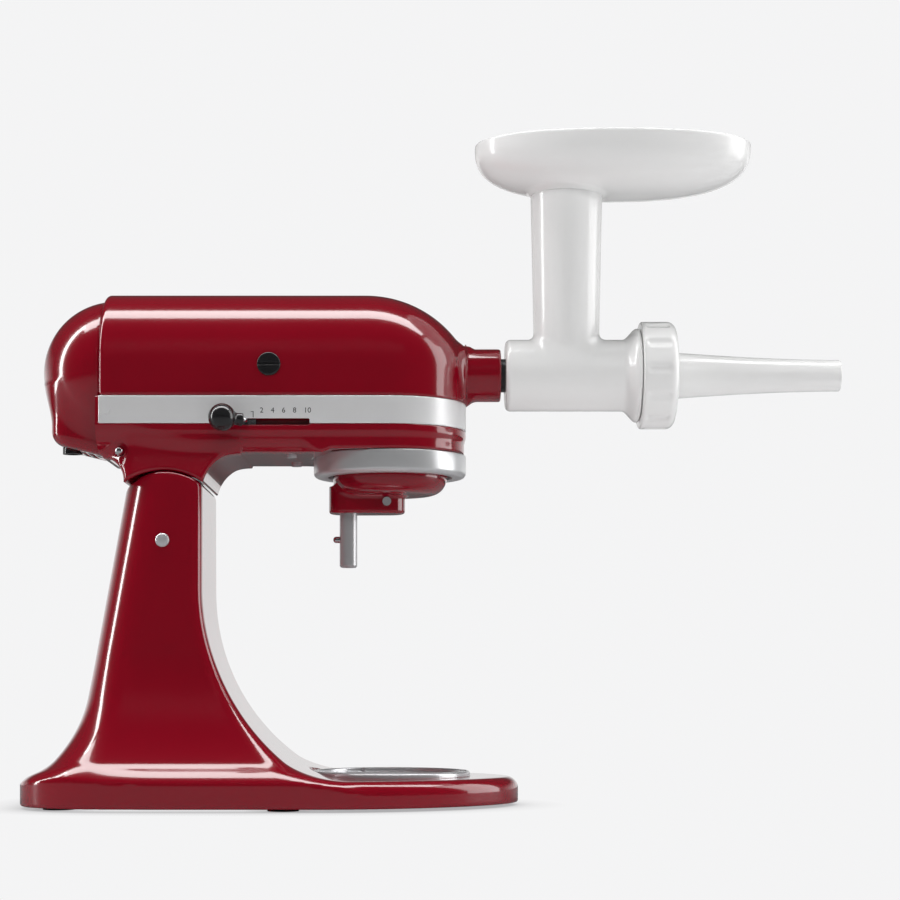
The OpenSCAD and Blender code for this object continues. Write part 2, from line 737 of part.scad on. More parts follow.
module spur_pinion() color(STEEL) at_axis() translate([wheel_x, wheel_y, 0]) {
    translate([0, 0, spur_top - spur_t]) rotate(atan2(-wheel_y, -wheel_x))
        linear_extrude(spur_t) spur_outline(pinion_teeth);
    z_rod(wheel_shaft_r, -46, 14);
}

// ---------- planetary ----------

module planetary_shaft() color(STEEL) at_axis() z_rod(main_shaft_r, -carrier_drop + 4, -7);

module centre_spur_gear() color(STEEL) at_axis() translate([0, 0, spur_top - spur_t]) difference() {
    rotate(atan2(wheel_y, wheel_x) - 180 / centre_teeth) linear_extrude(spur_t) difference() {
        spur_outline(centre_teeth);
        circle(r = main_shaft_r);
        for (a = [0:60:300]) rotate(a) translate([20, 0]) circle(r = 5);
    }
}

module centre_bevel_gear() color(STEEL) at_axis() difference() {
    union() {
        translate([0, 0, -bevel_small_r]) linear_extrude(bevel_t, scale = 1 - bevel_t / bevel_small_r)
            polygon(teeth_outline(bevel_big, bevel_r + 1.3, bevel_r - 1.7, 1.7, 3.6));
        z_rod(bevel_r - 1.8, -bevel_small_r - 3, -bevel_small_r + 0.5);
        z_rod(10, spur_top, -bevel_small_r);
    }
    z_rod(main_shaft_r, spur_top - cut, 0);
}

module planetary_carrier() color(RED) at_axis() difference() {
    union() {
        rotate_extrude() polygon(concat([[0, carrier_top], [0, -84]],
            arc([carrier_r - 13, -71], 13, -90, 0, 8), [[carrier_r, carrier_top]]));
        translate([0, 0, -carrier_drop]) linear_extrude(carrier_drop - 80) {
            translate([-beater_offset, 0]) circle(r = 14);
            translate([-2, 0]) circle(r = 13);
            translate([-beater_offset, -13]) square([beater_offset - 2, 26]);
        }
    }
    z_rod(main_shaft_r, -carrier_drop + 4, carrier_top + cut);
    translate([-beater_offset, 0, 0]) z_rod(beater_d / 2 + slack, -carrier_drop - cut, carrier_top + cut);
    translate(carrier_pin_at) y_rod(carrier_pin_r, -15, -12.5);
}

module carrier_pin() color(CHROME) at_axis() translate(carrier_pin_at) y_rod(carrier_pin_r, -14.6, -12.5);

module planet_pinion() color(STEEL) at_axis() translate([-beater_offset, 0, planet_top - planet_t])
    linear_extrude(planet_t) difference() {
        polygon(gear_outline(planet_teeth, planet_teeth * planet_module / 2, 0.8 * planet_module,
            1.1 * planet_module, 0.3));
        circle(r = beater_d / 2);
    }

module beater_shaft() color(STEEL) at_axis() translate([-beater_offset, 0, 0]) difference() {
    z_rod(beater_d / 2, -shaft_drop, planet_top + 0.4);
    translate([0, 0, -shaft_drop + cross_pin_up]) x_rod(cross_pin_r, -beater_d, beater_d);
}

// The pin fills its hole and stands out at one side.
module beater_cross_pin() color(CHROME) at_axis()
    translate([-beater_offset, 0, -shaft_drop + cross_pin_up])
        x_rod(cross_pin_r, -beater_d / 2 - cross_pin_out, beater_d / 2);

// ---------- hub drive ----------

module hub_drive_shaft() color(STEEL) at_axis() difference() {
    union() {
        x_rod(hub_shaft_r, 21, socket_x[1]);
        x_rod(hub_stub_r, 8, 21);
    }
    box([socket_x[0], -socket_w / 2, -socket_w / 2], [socket_x[1] + cut, socket_w / 2, socket_w / 2]);
}

module hub_bevel_pinion() color(STEEL) at_axis() difference() {
    translate([bevel_r, 0, 0]) rotate([0, -90, 0]) rotate(180 / bevel_small)
        linear_extrude(bevel_t * 1.2, scale = 1 - bevel_t * 1.2 / bevel_r)
            polygon(teeth_outline(bevel_small, bevel_small_r + 0.9, bevel_small_r - 1.3, 2.6, 5));
    x_rod(hub_stub_r, 0, 21);
}

// ---------- attachment knob ----------

module attachment_knob() color(BLACK) at_axis() translate([hub_knob_x, 0, 0]) difference() {
    translate([0, hub_d / 2 + 5, 0]) rotate([-90, 0, 0]) linear_extrude(13) difference() {
        circle(r = 14);
        for (a = [0:45:315]) rotate(a) translate([17.5, 0]) circle(r = 5);
    }
    y_rod(knob_screw_r, 0, knob_screw_end);
}

module attachment_screw() color(STEEL) at_axis() translate([hub_knob_x, 0, 0])
    y_rod(knob_screw_r, shank_r + gap, knob_screw_end);

// ---------- grinder ----------

module barrel_outside() {
    collar = nut_x - 0.4;
    end = nut_x + 15;
    x_turned([[0, barrel_x], [barrel_r - 3.5, barrel_x], [barrel_r - 1, barrel_x + 1],
        [barrel_r, barrel_x + 3.5], [barrel_r, nut_x - 9], [barrel_r + 1.5, nut_x - 5],
        [thread_r + 3, nut_x - 2], [thread_r + 3, collar], [thread_r, collar], [thread_r, end], [0, end]]);
    translate([feed_x, 0, 0]) cylinder(r1 = feed_r - 2.6, r2 = feed_r, h = feed_top);
}

module grinder_barrel() color(WHITE) at_axis() difference() {
    barrel_outside();
    x_rod(bore_r, barrel_x + 4, nut_x + 16);
    x_rod(thread_r - 4, nut_x + 2, nut_x + 16);
    translate([feed_x, 0, 0]) z_rod(bore_r, 0, feed_top + cut);
    x_rod(shank_r - slack, barrel_x - cut, barrel_x + 5);
}

module barrel_shank() color(BLACK) at_axis() difference() {
    x_rod(shank_r - slack, socket_x[1] + 2, barrel_x + 4);
    x_rod(main_shaft_r + slack, socket_x[1] - cut, barrel_x + 6);
    translate([hub_knob_x, 0, 0]) y_rod(4, shank_r - 2, shank_r + cut);
}

module auger() color(WHITE) at_axis() difference() {
    l = nut_x + 4.5 - barrel_x - 5;
    turn = 360 * l / auger_turn_l;
    along_x(barrel_x + 5) linear_extrude(l, twist = turn, slices = 30) polygon(concat(
        [for (a = [-24:12:24]) [(bore_r - 0.6) * cos(a), (bore_r - 0.6) * sin(a)]],
        [for (a = [70:22:290]) [9 * cos(a), 9 * sin(a)]]));
    x_rod(main_shaft_r, barrel_x, nut_x + 6);
}

module auger_shank() color(STEEL) at_axis() {
    box([socket_x[0] + 2, -drive_w / 2, -drive_w / 2], [socket_x[1] + 2, drive_w / 2, drive_w / 2]);
    x_rod(main_shaft_r, socket_x[1] + 2, nut_x + 4.5);
    box([nut_x + 4.5, -3.6, -3.6], [nut_x + 8.4, 3.6, 3.6]);
    x_rod(3.4, nut_x + 8.4, nut_x + 14);
}

module cutting_knife() color(STEEL) at_axis() along_x(nut_x + 5) linear_extrude(3) difference() {
    union() {
        circle(r = 8);
        for (a = [0:90:270]) rotate(a) translate([0, -3]) square([bore_r - 2, 6]);
    }
    square(7.2, center = true);
}

module grinding_plate() color(STEEL) at_axis() along_x(nut_x + 8.6) linear_extrude(6) difference() {
    circle(r = thread_r - 4.3);
    circle(r = 3.4 + slack);
    for (ring = [[8, 6], [13.5, 12], [19, 18]]) for (i = [0:ring[1] - 1]) rotate(360 * i / ring[1])
        translate([ring[0], 0]) circle(r = plate_hole_r, $fn = 16);
}

module stuffing_tube() color(WHITE) at_axis() {
    front = nut_x + nut_l;
    tip = front + tube_l;
    flange_r = thread_r - 1;
    flange_x = tube_x + 2.6;
    x_turned(concat([[flange_r, tube_x], [flange_r, flange_x], [tube_root_r, flange_x], [tube_root_r, front]],
        [for (i = [1:8]) let (t = i / 8)
            [tube_tip_r + (tube_root_r - tube_tip_r) * pow(1 - t, 1.6), front + (tube_l - 0.5) * t]],
        [[tube_tip_r - 0.5, tip], [tube_bore / 2, tip], [tube_bore / 2, tip - 20],
         [tube_root_r - 2.6, tube_x + 6], [tube_root_r - 1.6, tube_x]]));
}

module ring_nut() color(WHITE) at_axis() {
    r = nut_d / 2;
    front = nut_x + nut_l;
    difference() {
        x_turned(concat([[thread_r + gap, nut_x], [r - 1, nut_x], [r, nut_x + 1]],
            arc([r - 7, front - 7], 7, 0, 90, 6),
            [[tube_root_r + gap, front], [tube_root_r + gap, tube_x + 3], [thread_r + gap, tube_x + 3]]));
        for (a = [0:30:330]) rotate([a, 0, 0]) translate([0, 0, r + 9.1]) x_rod(10, nut_x + 3, front - 4);
    }
}

// One level of the tray's oval wall.
module tray_ring(z, shrink, t) translate([tray_x, 0, z]) linear_extrude(t)
    polygon(oval(tray_l / 2 - shrink, tray_w / 2 - shrink * 0.85, 2.3, 0, 348, 0, 12));

module tray_form(wall) hull() {
    top = tray_z + tray_depth + 1;
    tray_ring(top - 1 + (wall > 0 ? 2 : 0), wall, 1);
    tray_ring(tray_z + tray_depth * 0.55, 2 + wall, 1);
    tray_ring(tray_z + tray_depth * 0.2, 22 + wall, 1);
    tray_ring(tray_z + wall, 42 + wall, 1);
}

module food_tray() color(WHITE) at_axis() difference() {
    union() {
        difference() {
            tray_form(0);
            tray_form(2.4);
        }
        translate([feed_x, 0, 0]) z_rod(spigot_r, feed_top - 14, feed_top + 3);
        translate([feed_x, 0, 0]) z_rod(feed_r, feed_top, feed_top + 3.4);
    }
    translate([feed_x, 0, 0]) z_rod(throat_r, feed_top - 15, feed_top + 10);
}

pedestal();
rubber_feet();
bowl_clamp_plate();
clamp_plate_screws();
hinge_pin();
head_upper_housing();
head_lower_housing();
rear_cap();
trim_band();
trim_band_screws();
brush_caps();
brush_holders();
carbon_brushes();
motor_stator();
field_coils();
motor_bearings();
bearing_brackets();
gearbox_bracket();
planetary_bearings();
hub_bearing();
planetary_trim_ring();
internal_ring_gear();
housing_screws();
speed_control_board();
cord_gland();
speed_knob();
speed_lever_rod();
speed_link();
lock_rod();
lock_lever_arm();
motor_shaft();
armature_core();
commutator();
governor();
cooling_fan();
drive_worm();
worm_wheel();
spur_pinion();
planetary_shaft();
centre_spur_gear();
centre_bevel_gear();
planetary_carrier();
carrier_pin();
planet_pinion();
beater_shaft();
beater_cross_pin();
hub_drive_shaft();
hub_bevel_pinion();
attachment_knob();
attachment_screw();
grinder_barrel();
barrel_shank();
auger();
auger_shank();
cutting_knife();
grinding_plate();
stuffing_tube();
ring_nut();
food_tray();
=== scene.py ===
import math

import bmesh
import bpy
import numpy as np
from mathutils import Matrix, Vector


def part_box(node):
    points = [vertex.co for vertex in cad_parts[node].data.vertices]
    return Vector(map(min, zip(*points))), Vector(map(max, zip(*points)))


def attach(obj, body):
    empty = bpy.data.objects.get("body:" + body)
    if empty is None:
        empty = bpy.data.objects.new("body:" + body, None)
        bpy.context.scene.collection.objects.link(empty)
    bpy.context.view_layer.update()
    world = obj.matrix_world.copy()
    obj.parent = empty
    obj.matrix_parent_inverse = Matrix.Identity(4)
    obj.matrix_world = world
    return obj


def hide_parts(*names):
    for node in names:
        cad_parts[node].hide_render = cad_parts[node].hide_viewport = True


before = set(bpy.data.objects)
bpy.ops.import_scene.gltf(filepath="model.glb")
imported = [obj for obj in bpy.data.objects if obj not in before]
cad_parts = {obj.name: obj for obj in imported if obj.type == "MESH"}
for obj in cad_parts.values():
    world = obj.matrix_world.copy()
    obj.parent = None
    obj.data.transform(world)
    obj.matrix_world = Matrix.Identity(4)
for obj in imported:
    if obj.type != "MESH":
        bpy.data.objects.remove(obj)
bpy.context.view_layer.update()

# ---------- Table, camera and studio light ----------
# The machine stands on a plain pale table in a white studio. A long softbox hangs over it, tall softboxes
# stand at both ends, and a wide light on the camera's side opens the shadows.


def add_camera():
    data = bpy.data.cameras.new("camera")
    data.lens = 83.7
    data.sensor_width = 36
    data.shift_x = 0.039
    data.shift_y = 0.2556
    camera = bpy.data.objects.new("camera", data)
    camera.location = (0.0175, -1.465, 0.087)
    camera.rotation_euler = (math.radians(90), 0, 0)
    bpy.context.scene.collection.objects.link(camera)
    bpy.context.scene.camera = camera


def softbox(name, place, aim, size, power, mirrored=True):
    data = bpy.data.lights.new(name, "AREA")
    data.shape = "RECTANGLE"
    data.size, data.size_y = size
    data.energy = power
    light = bpy.data.objects.new(name, data)
    light.location = place
    light.visible_glossy = mirrored
    light.rotation_euler = (Vector(aim) - Vector(place)).to_track_quat("-Z", "Y").to_euler()
    bpy.context.scene.collection.objects.link(light)


def backdrop_glow(tree):
    """Brightness of the studio as the object sees it: dim, but for a pale backdrop low behind it."""
    way = tree.nodes.new("ShaderNodeTexCoord")
    split = tree.nodes.new("ShaderNodeSeparateXYZ")
    tree.links.new(way.outputs["Generated"], split.inputs[0])
    kinds = ("ShaderNodeMapRange", "ShaderNodeMapRange", "ShaderNodeMath", "ShaderNodeMath")
    behind, low, both, sum_up = (tree.nodes.new(kind) for kind in kinds)
    for node, start, end, axis in ((behind, 0.35, 0.8, "Y"), (low, 0.32, 0.12, "Z")):
        node.inputs["From Min"].default_value = start
        node.inputs["From Max"].default_value = end
        tree.links.new(split.outputs[axis], node.inputs["Value"])
        tree.links.new(node.outputs["Result"], both.inputs[0 if axis == "Y" else 1])
    both.operation = "MULTIPLY"
    sum_up.operation = "MULTIPLY_ADD"
    backdrop, room = 0.75, 0.045
    sum_up.inputs[1].default_value = backdrop
    sum_up.inputs[2].default_value = room
    tree.links.new(both.outputs[0], sum_up.inputs[0])
    return sum_up.outputs[0]


def studio_world():
    world = bpy.data.worlds.new("studio")
    world.use_nodes = True
    tree = world.node_tree
    tree.nodes.clear()
    seen = tree.nodes.new("ShaderNodeBackground")
    seen.inputs["Color"].default_value = (0.905, 0.905, 0.91, 1)
    around = tree.nodes.new("ShaderNodeBackground")
    around.inputs["Color"].default_value = (1, 1, 1, 1)
    tree.links.new(backdrop_glow(tree), around.inputs["Strength"])
    path = tree.nodes.new("ShaderNodeLightPath")
    mix = tree.nodes.new("ShaderNodeMixShader")
    out = tree.nodes.new("ShaderNodeOutputWorld")
    tree.links.new(path.outputs["Is Camera Ray"], mix.inputs[0])
    tree.links.new(around.outputs[0], mix.inputs[1])
    tree.links.new(seen.outputs[0], mix.inputs[2])
    tree.links.new(mix.outputs[0], out.inputs[0])
    bpy.context.scene.world = world


def table_white():
    """White as it lights the object, and dimmer where the object mirrors it. The camera sees bare background
    there, except for a painted shadow close to the foot: a dark emission mixed in by ambient occlusion."""
    material = bpy.data.materials.new("table_white")
    material.use_nodes = True
    tree = material.node_tree
    shader = tree.nodes["Principled BSDF"]
    shader.inputs["Roughness"].default_value = 0.6
    # Painted contact shadow: where ambient occlusion finds the foot close by, a dark emission is mixed over
    # the bare background.
    near = tree.nodes.new("ShaderNodeAmbientOcclusion")
    near.inputs["Distance"].default_value = 0.035
    near.samples = 16
    shade = tree.nodes.new("ShaderNodeMapRange")
    shade.inputs["To Min"].default_value = 0.75
    shade.inputs["To Max"].default_value = 0.0
    painted_shadow = tree.nodes.new("ShaderNodeEmission")
    painted_shadow.inputs["Color"].default_value = (0.2, 0.19, 0.2, 1)
    clear = tree.nodes.new("ShaderNodeBsdfTransparent")
    seen, either = tree.nodes.new("ShaderNodeMixShader"), tree.nodes.new("ShaderNodeMixShader")
    path = tree.nodes.new("ShaderNodeLightPath")
    link = tree.links.new
    dimmer = tree.nodes.new("ShaderNodeMix")
    dimmer.data_type = "RGBA"
    dimmer.inputs["A"].default_value = (0.8, 0.8, 0.805, 1)
    dimmer.inputs["B"].default_value = (0.2, 0.2, 0.205, 1)
    link(path.outputs["Is Glossy Ray"], dimmer.inputs["Factor"])
    link(dimmer.outputs["Result"], shader.inputs["Base Color"])
    link(near.outputs["AO"], shade.inputs["Value"])
    link(shade.outputs["Result"], seen.inputs[0])
    link(clear.outputs[0], seen.inputs[1])
    link(painted_shadow.outputs[0], seen.inputs[2])
    link(path.outputs["Is Camera Ray"], either.inputs[0])
    link(shader.outputs[0], either.inputs[1])
    link(seen.outputs[0], either.inputs[2])
    link(either.outputs[0], tree.nodes["Material Output"].inputs["Surface"])
    return material


def table_top():
    reach = 9.0
    mesh = bpy.data.meshes.new("table")
    mesh.from_pydata([(-reach, -reach, 0), (reach, -reach, 0), (reach, reach, 0), (-reach, reach, 0)], [],
                     [(0, 1, 2, 3)])
    table = bpy.data.objects.new("table", mesh)
    bpy.context.scene.collection.objects.link(table)
    mesh.materials.append(table_white())


add_camera()
studio_world()
table_top()
softbox("softbox_over", (0.0, -0.15, 2.3), (0.0, 0.0, 0.3), (3.4, 0.62), 46)
softbox("softbox_left", (-1.9, 0.0, 1.1), (0.0, 0.0, 0.3), (0.24, 2.3), 20)
softbox("softbox_right", (1.7, 0.1, 0.8), (0.0, 0.0, 0.3), (1.1, 2.0), 19)
softbox("softbox_front", (0.0, -2.6, 1.9), (0.0, 0.0, 0.2), (2.6, 0.7), 31, mirrored=False)
bpy.context.scene.view_settings.view_transform = "Standard"

# ---------- Stand casting ----------
# The foot and column are one zinc casting: a flat oval foot that sweeps up into a column, with a round top
# that the head tilts about. It is baked with glossy red enamel, and is open underneath.

MM = 0.001


def mm(node):
    """Lowest and highest corner of a CAD node, in millimetres."""
    low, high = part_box(node)
    return np.array(low) / MM, np.array(high) / MM


def rounded_union(a, b, r):
    return np.maximum(r, np.minimum(a, b)) - np.hypot(np.maximum(r - a, 0), np.maximum(r - b, 0))


def rounded_cut(a, b, r):
    """Where both a and b are inside, with the edge between them rounded to r."""
    return np.minimum(-r, np.maximum(a, b)) + np.hypot(np.maximum(r + a, 0), np.maximum(r + b, 0))


def smooth_step(t):
    t = np.clip(t, 0, 1)
    return t * t * (3 - 2 * t)


def oval_field(x, y, a, b, n):
    """Distance outside an oval of half-lengths a and b, with the fullness n."""
    px, py = np.abs(x) / a, np.abs(y) / b
    g = np.maximum(px ** n + py ** n, 1e-9) ** (1 / n)
    slope = np.hypot((px / g) ** (n - 1) / a, (py / g) ** (n - 1) / b)
    return (g - 1) / np.maximum(slope, 1e-6)


def field_slope(field, points, reach=0.04):
    slopes = []
    for axis in range(3):
        move = np.zeros(3)
        move[axis] = reach
        slopes.append((field(*(points + move).T) - field(*(points - move).T)) / (2 * reach))
    return np.stack(slopes, 1)


def net_vertices(values, cells, origin, step):
    """One vertex in each crossed cell, at the middle of the places where the surface crosses its edges."""
    corner = {(a, b, c): values[cells[:, 0] + a, cells[:, 1] + b, cells[:, 2] + c]
              for a in (0, 1) for b in (0, 1) for c in (0, 1)}
    total, count = np.zeros((len(cells), 3)), np.zeros(len(cells))
    for start in corner:
        for axis in range(3):
            if start[axis]:
                continue
            end = tuple(v + (i == axis) for i, v in enumerate(start))
            fa, fb = corner[start], corner[end]
            crossed = (fa < 0) != (fb < 0)
            share = np.where(crossed, fa / np.where(crossed, fa - fb, 1), 0)
            place = np.array(start, float)[None, :].repeat(len(cells), 0)
            place[:, axis] += share
            total += place * crossed[:, None]
            count += crossed
    return origin + (cells + total / count[:, None]) * step


def net_faces(inside, index):
    """A quad round each grid edge that the surface crosses, facing outwards."""
    quads = []
    for axis in range(3):
        b, c = (axis + 1) % 3, (axis + 2) % 3
        first = np.take(inside, range(inside.shape[axis] - 1), axis)
        second = np.take(inside, range(1, inside.shape[axis]), axis)
        at = np.argwhere(first != second)
        at = at[(at[:, b] > 0) & (at[:, c] > 0) & (at[:, b] < index.shape[b]) & (at[:, c] < index.shape[c])]
        leaving = first[tuple(at.T)]
        around = []
        for db, dc in ((1, 1), (0, 1), (0, 0), (1, 0)):
            cell = at.copy()
            cell[:, b] -= db
            cell[:, c] -= dc
            around.append(index[tuple(cell.T)])
        quad = np.stack(around, 1)
        quads.append(np.where(leaving[:, None], quad, quad[:, ::-1]))
    return np.concatenate(quads)


def cast(name, field, low, high, step):
    """The surface of a field given in millimetres, as a fine smooth mesh."""
    low, high = np.array(low, float) - 2.6 * step, np.array(high, float) + 2.6 * step
    axes = [np.arange(low[i], high[i], step) for i in range(3)]
    values = np.stack([field(*np.meshgrid([x], axes[1], axes[2], indexing="ij"))[0] for x in axes[0]])
    inside = values < 0
    nx, ny, nz = (count - 1 for count in inside.shape)
    held = sum(inside[a:nx + a, b:ny + b, c:nz + c].astype(int)
               for a in (0, 1) for b in (0, 1) for c in (0, 1))
    cells = np.argwhere((held > 0) & (held < 8))
    index = np.full(held.shape, -1)
    index[tuple(cells.T)] = np.arange(len(cells))
    points = net_vertices(values, cells, low, step)
    for _ in range(5):
        slope = field_slope(field, points)
        size = np.maximum((slope ** 2).sum(1), 0.05)
        move = slope * (field(*points.T) / size)[:, None]
        length = np.maximum(np.linalg.norm(move, axis=1), 1e-9)
        points = points - move * np.minimum(1, 0.4 * step / length)[:, None]
    return add_mesh(name, points * MM, net_faces(inside, index))


def add_mesh(name, points, faces):
    mesh = bpy.data.meshes.new(name)
    mesh.from_pydata([tuple(p) for p in points], [], [tuple(int(i) for i in f) for f in faces])
    mesh.validate()
    mesh.polygons.foreach_set("use_smooth", [True] * len(mesh.polygons))
    mesh.update()
    piece = bpy.data.objects.new(name, mesh)
    bpy.context.scene.collection.objects.link(piece)
    return piece


def effect_group(name, numbers, outputs):
    """An empty node group with number inputs and named outputs, and its input and output nodes."""
    tree = bpy.data.node_groups.new(name, "ShaderNodeTree")
    for label, value in numbers.items():
        tree.interface.new_socket(label, in_out="INPUT", socket_type="NodeSocketFloat").default_value = value
    for label, kind in outputs.items():
        tree.interface.new_socket(label, in_out="OUTPUT", socket_type=kind)
    return tree, tree.nodes.new("NodeGroupInput"), tree.nodes.new("NodeGroupOutput")


def surface_grain_group():
    """Fine grain for any finish: a height, and a slow mask that varies the finish over the piece.
    Stretch X, Y and Z draw the grain out, as brushing does."""
    tree, given, out = effect_group(
        "surface_grain", {"Scale": 400, "Stretch X": 1, "Stretch Y": 1, "Stretch Z": 1, "Patch Scale": 9},
        {"Height": "NodeSocketFloat", "Patches": "NodeSocketFloat"})
    place = tree.nodes.new("ShaderNodeTexCoord")
    stretch = tree.nodes.new("ShaderNodeCombineXYZ")
    drawn = tree.nodes.new("ShaderNodeVectorMath")
    drawn.operation = "MULTIPLY"
    grain = tree.nodes.new("ShaderNodeTexNoise")
    grain.inputs["Detail"].default_value = 3
    patches = tree.nodes.new("ShaderNodeTexNoise")
    patches.inputs["Detail"].default_value = 4
    link = tree.links.new
    for axis in "XYZ":
        link(given.outputs["Stretch " + axis], stretch.inputs[axis])
    link(place.outputs["Object"], drawn.inputs[0])
    link(stretch.outputs[0], drawn.inputs[1])
    link(drawn.outputs[0], grain.inputs["Vector"])
    link(given.outputs["Scale"], grain.inputs["Scale"])
    link(place.outputs["Object"], patches.inputs["Vector"])
    link(given.outputs["Patch Scale"], patches.inputs["Scale"])
    link(grain.outputs["Fac"], out.inputs["Height"])
    link(patches.outputs["Fac"], out.inputs["Patches"])
    return tree


GRAIN = surface_grain_group()


def finish(name, color, rough, metal=0.0, coat=0.0, scale=400, stretch=(1, 1, 1), bump=0.02, spread=0.04,
           tint=0.06, patch=9):
    """A finish whose colour and roughness vary a little in slow patches, with its grain as fine relief."""
    material = bpy.data.materials.new(name)
    material.use_nodes = True
    tree = material.node_tree
    link = tree.links.new
    shader = tree.nodes["Principled BSDF"]
    grain = tree.nodes.new("ShaderNodeGroup")
    grain.node_tree = GRAIN
    grain.inputs["Scale"].default_value = scale
    grain.inputs["Patch Scale"].default_value = patch
    for axis, value in zip("XYZ", stretch):
        grain.inputs["Stretch " + axis].default_value = value
    shade = tree.nodes.new("ShaderNodeMix")
    shade.data_type = "RGBA"
    shade.inputs["A"].default_value = (*[c * (1 - tint) for c in color], 1)
    shade.inputs["B"].default_value = (*[min(1, c * (1 + tint)) for c in color], 1)
    rub = tree.nodes.new("ShaderNodeMapRange")
    rub.inputs["To Min"].default_value = max(0.01, rough - spread)
    rub.inputs["To Max"].default_value = rough + spread
    relief = tree.nodes.new("ShaderNodeBump")
    relief.inputs["Strength"].default_value = bump
    relief.inputs["Distance"].default_value = 0.001
    link(grain.outputs["Patches"], shade.inputs["Factor"])
    link(grain.outputs["Patches"], rub.inputs["Value"])
    link(grain.outputs["Height"], relief.inputs["Height"])
    link(shade.outputs["Result"], shader.inputs["Base Color"])
    link(rub.outputs["Result"], shader.inputs["Roughness"])
    link(relief.outputs["Normal"], shader.inputs["Normal"])
    shader.inputs["Metallic"].default_value = metal
    shader.inputs["Coat Weight"].default_value = coat
    shader.inputs["Coat Roughness"].default_value = 0.04
    return material


def place_piece(piece, material, body, slot, *nodes):
    """Gives a made piece its finish, its body and the CAD nodes that it stands for. The slot is not used."""
    piece.data.materials.clear()
    piece.data.materials.append(material)
    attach(piece, body)
    if nodes:
        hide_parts(*nodes)
    return piece


def dress(material, *nodes):
    """Gives CAD nodes a finish and leaves their shape alone."""
    for node in nodes:
        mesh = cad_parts[node].data
        for slot in range(max(1, len(mesh.materials))):
            if slot < len(mesh.materials):
                mesh.materials[slot] = material
            else:
                mesh.materials.append(material)


ENAMEL = finish("red_enamel", (0.23, 0.0, 0.009), 0.16, coat=1.0, scale=130, bump=0.012, spread=0.03,
                tint=0.05)

AXIS_Z = float(sum(mm("motor_shaft")[i][2] for i in (0, 1)) / 2)
PIN_LOW, PIN_HIGH = mm("hinge_pin")
PIN_X, PIN_Z = (PIN_LOW[0] + PIN_HIGH[0]) / 2, (PIN_LOW[2] + PIN_HIGH[2]) / 2
STAND_LOW, STAND_HIGH = mm("pedestal")
ARCH_R = STAND_HIGH[2] - PIN_Z
TONGUE_HALF = 16.5
HEAD_TILT = 50
SEAT_R = mm("bowl_clamp_plate")[1][0] + 0.3


def stand_field(x, y, z):
    half = STAND_HIGH[1]
    top = 20.0
    shoulder = 8.5
    front_mid, rear_mid = -45.0, -120.0
    front = oval_field(np.maximum(x - front_mid, 0), y, STAND_HIGH[0] - front_mid, half, 1.85)
    rear = oval_field(np.minimum(x - rear_mid, 0), y, rear_mid - STAND_LOW[0], half, 4.0)
    plan = np.maximum(front, rear)
    foot = rounded_cut(plan, z - top, shoulder)
    # column: front face, sides and rear face each flare out near the foot
    front_x, flare = -126.3, 150.0
    drop = np.clip(flare - z, 0, flare - 1.5)
    face_x = front_x + flare - np.sqrt(flare ** 2 - drop ** 2)
    face = (x - face_x) * np.sqrt(flare ** 2 - drop ** 2) / flare
    side_r, side_z, side_half, draft = 123.0, 108.0, 60.0, 0.026
    fall = np.clip(side_z - z, 0, side_z)
    side_y = side_half - np.clip(z - side_z, 0, 130) * draft + side_r - np.sqrt(side_r ** 2 - fall ** 2)
    side = (np.abs(y) - side_y) * np.sqrt(side_r ** 2 - fall ** 2) / side_r
    heel_r, heel_z, heel_x, lean, lean_scale = 80.0, 75.0, -209, 0.179, 0.984
    sink = np.clip(heel_z - z, 0, heel_r - 1.5)
    back_x = heel_x + (z - 60) * lean - heel_r + np.sqrt(heel_r ** 2 - sink ** 2)
    back = (back_x - x) * lean_scale * np.sqrt(heel_r ** 2 - sink ** 2) / heel_r
    corner = 34.0 - 8 * smooth_step((60 - z) / 50)
    column = rounded_cut(rounded_cut(back, side, corner), rounded_cut(face, side, 9.0), 4.0)
    arch = np.where(z > PIN_Z, np.hypot(x - PIN_X, z - PIN_Z) - ARCH_R, -ARCH_R)
    column = rounded_cut(column, arch, 2.6)
    body = rounded_union(foot, rounded_cut(column, plan + 1.5, 6.0), 13.0)
    body = rounded_cut(np.maximum(body, plan), 2 - z, 1.5)
    # seat of the bowl clamp plate
    body = np.maximum(body, -np.maximum(np.hypot(x, y) - SEAT_R, np.maximum(19.6 - z, z - 45)))
    # slot for the head's tongue, from the top to the rear
    dx, dz = x - PIN_X, z - PIN_Z
    drum = np.hypot(dx, dz) - 21.6
    front_way, tilt = math.radians(60), math.radians(HEAD_TILT)
    wedge = np.maximum(dx * math.sin(front_way) - dz * math.cos(front_way),
                       -dx * math.cos(tilt) - dz * math.sin(tilt) - 10.6)
    slot = np.maximum(np.abs(y) - TONGUE_HALF, np.minimum(drum, wedge))
    body = rounded_cut(body, -slot, 1.6)
    # the casting's hollow underside
    well = np.maximum(np.maximum(plan + 6, z - 14), -(z + 40))
    shaft = np.maximum(np.maximum(column + 7, z - 148), plan + 6)
    return rounded_cut(body, -np.minimum(well, shaft), 1.2)


stand = cast("stand_casting", stand_field, STAND_LOW, STAND_HIGH, 1.7)
place_piece(stand, ENAMEL, "stand", "enamel", "pedestal")

# ---------- Rubber feet, clamp plate and hinge pin ----------
# Five moulded rubber feet are pressed into bosses under the foot. The bowl clamp plate is a satin steel
# pressing held by three slotted screws, and the hinge pin is a turned steel rod with domed ends.


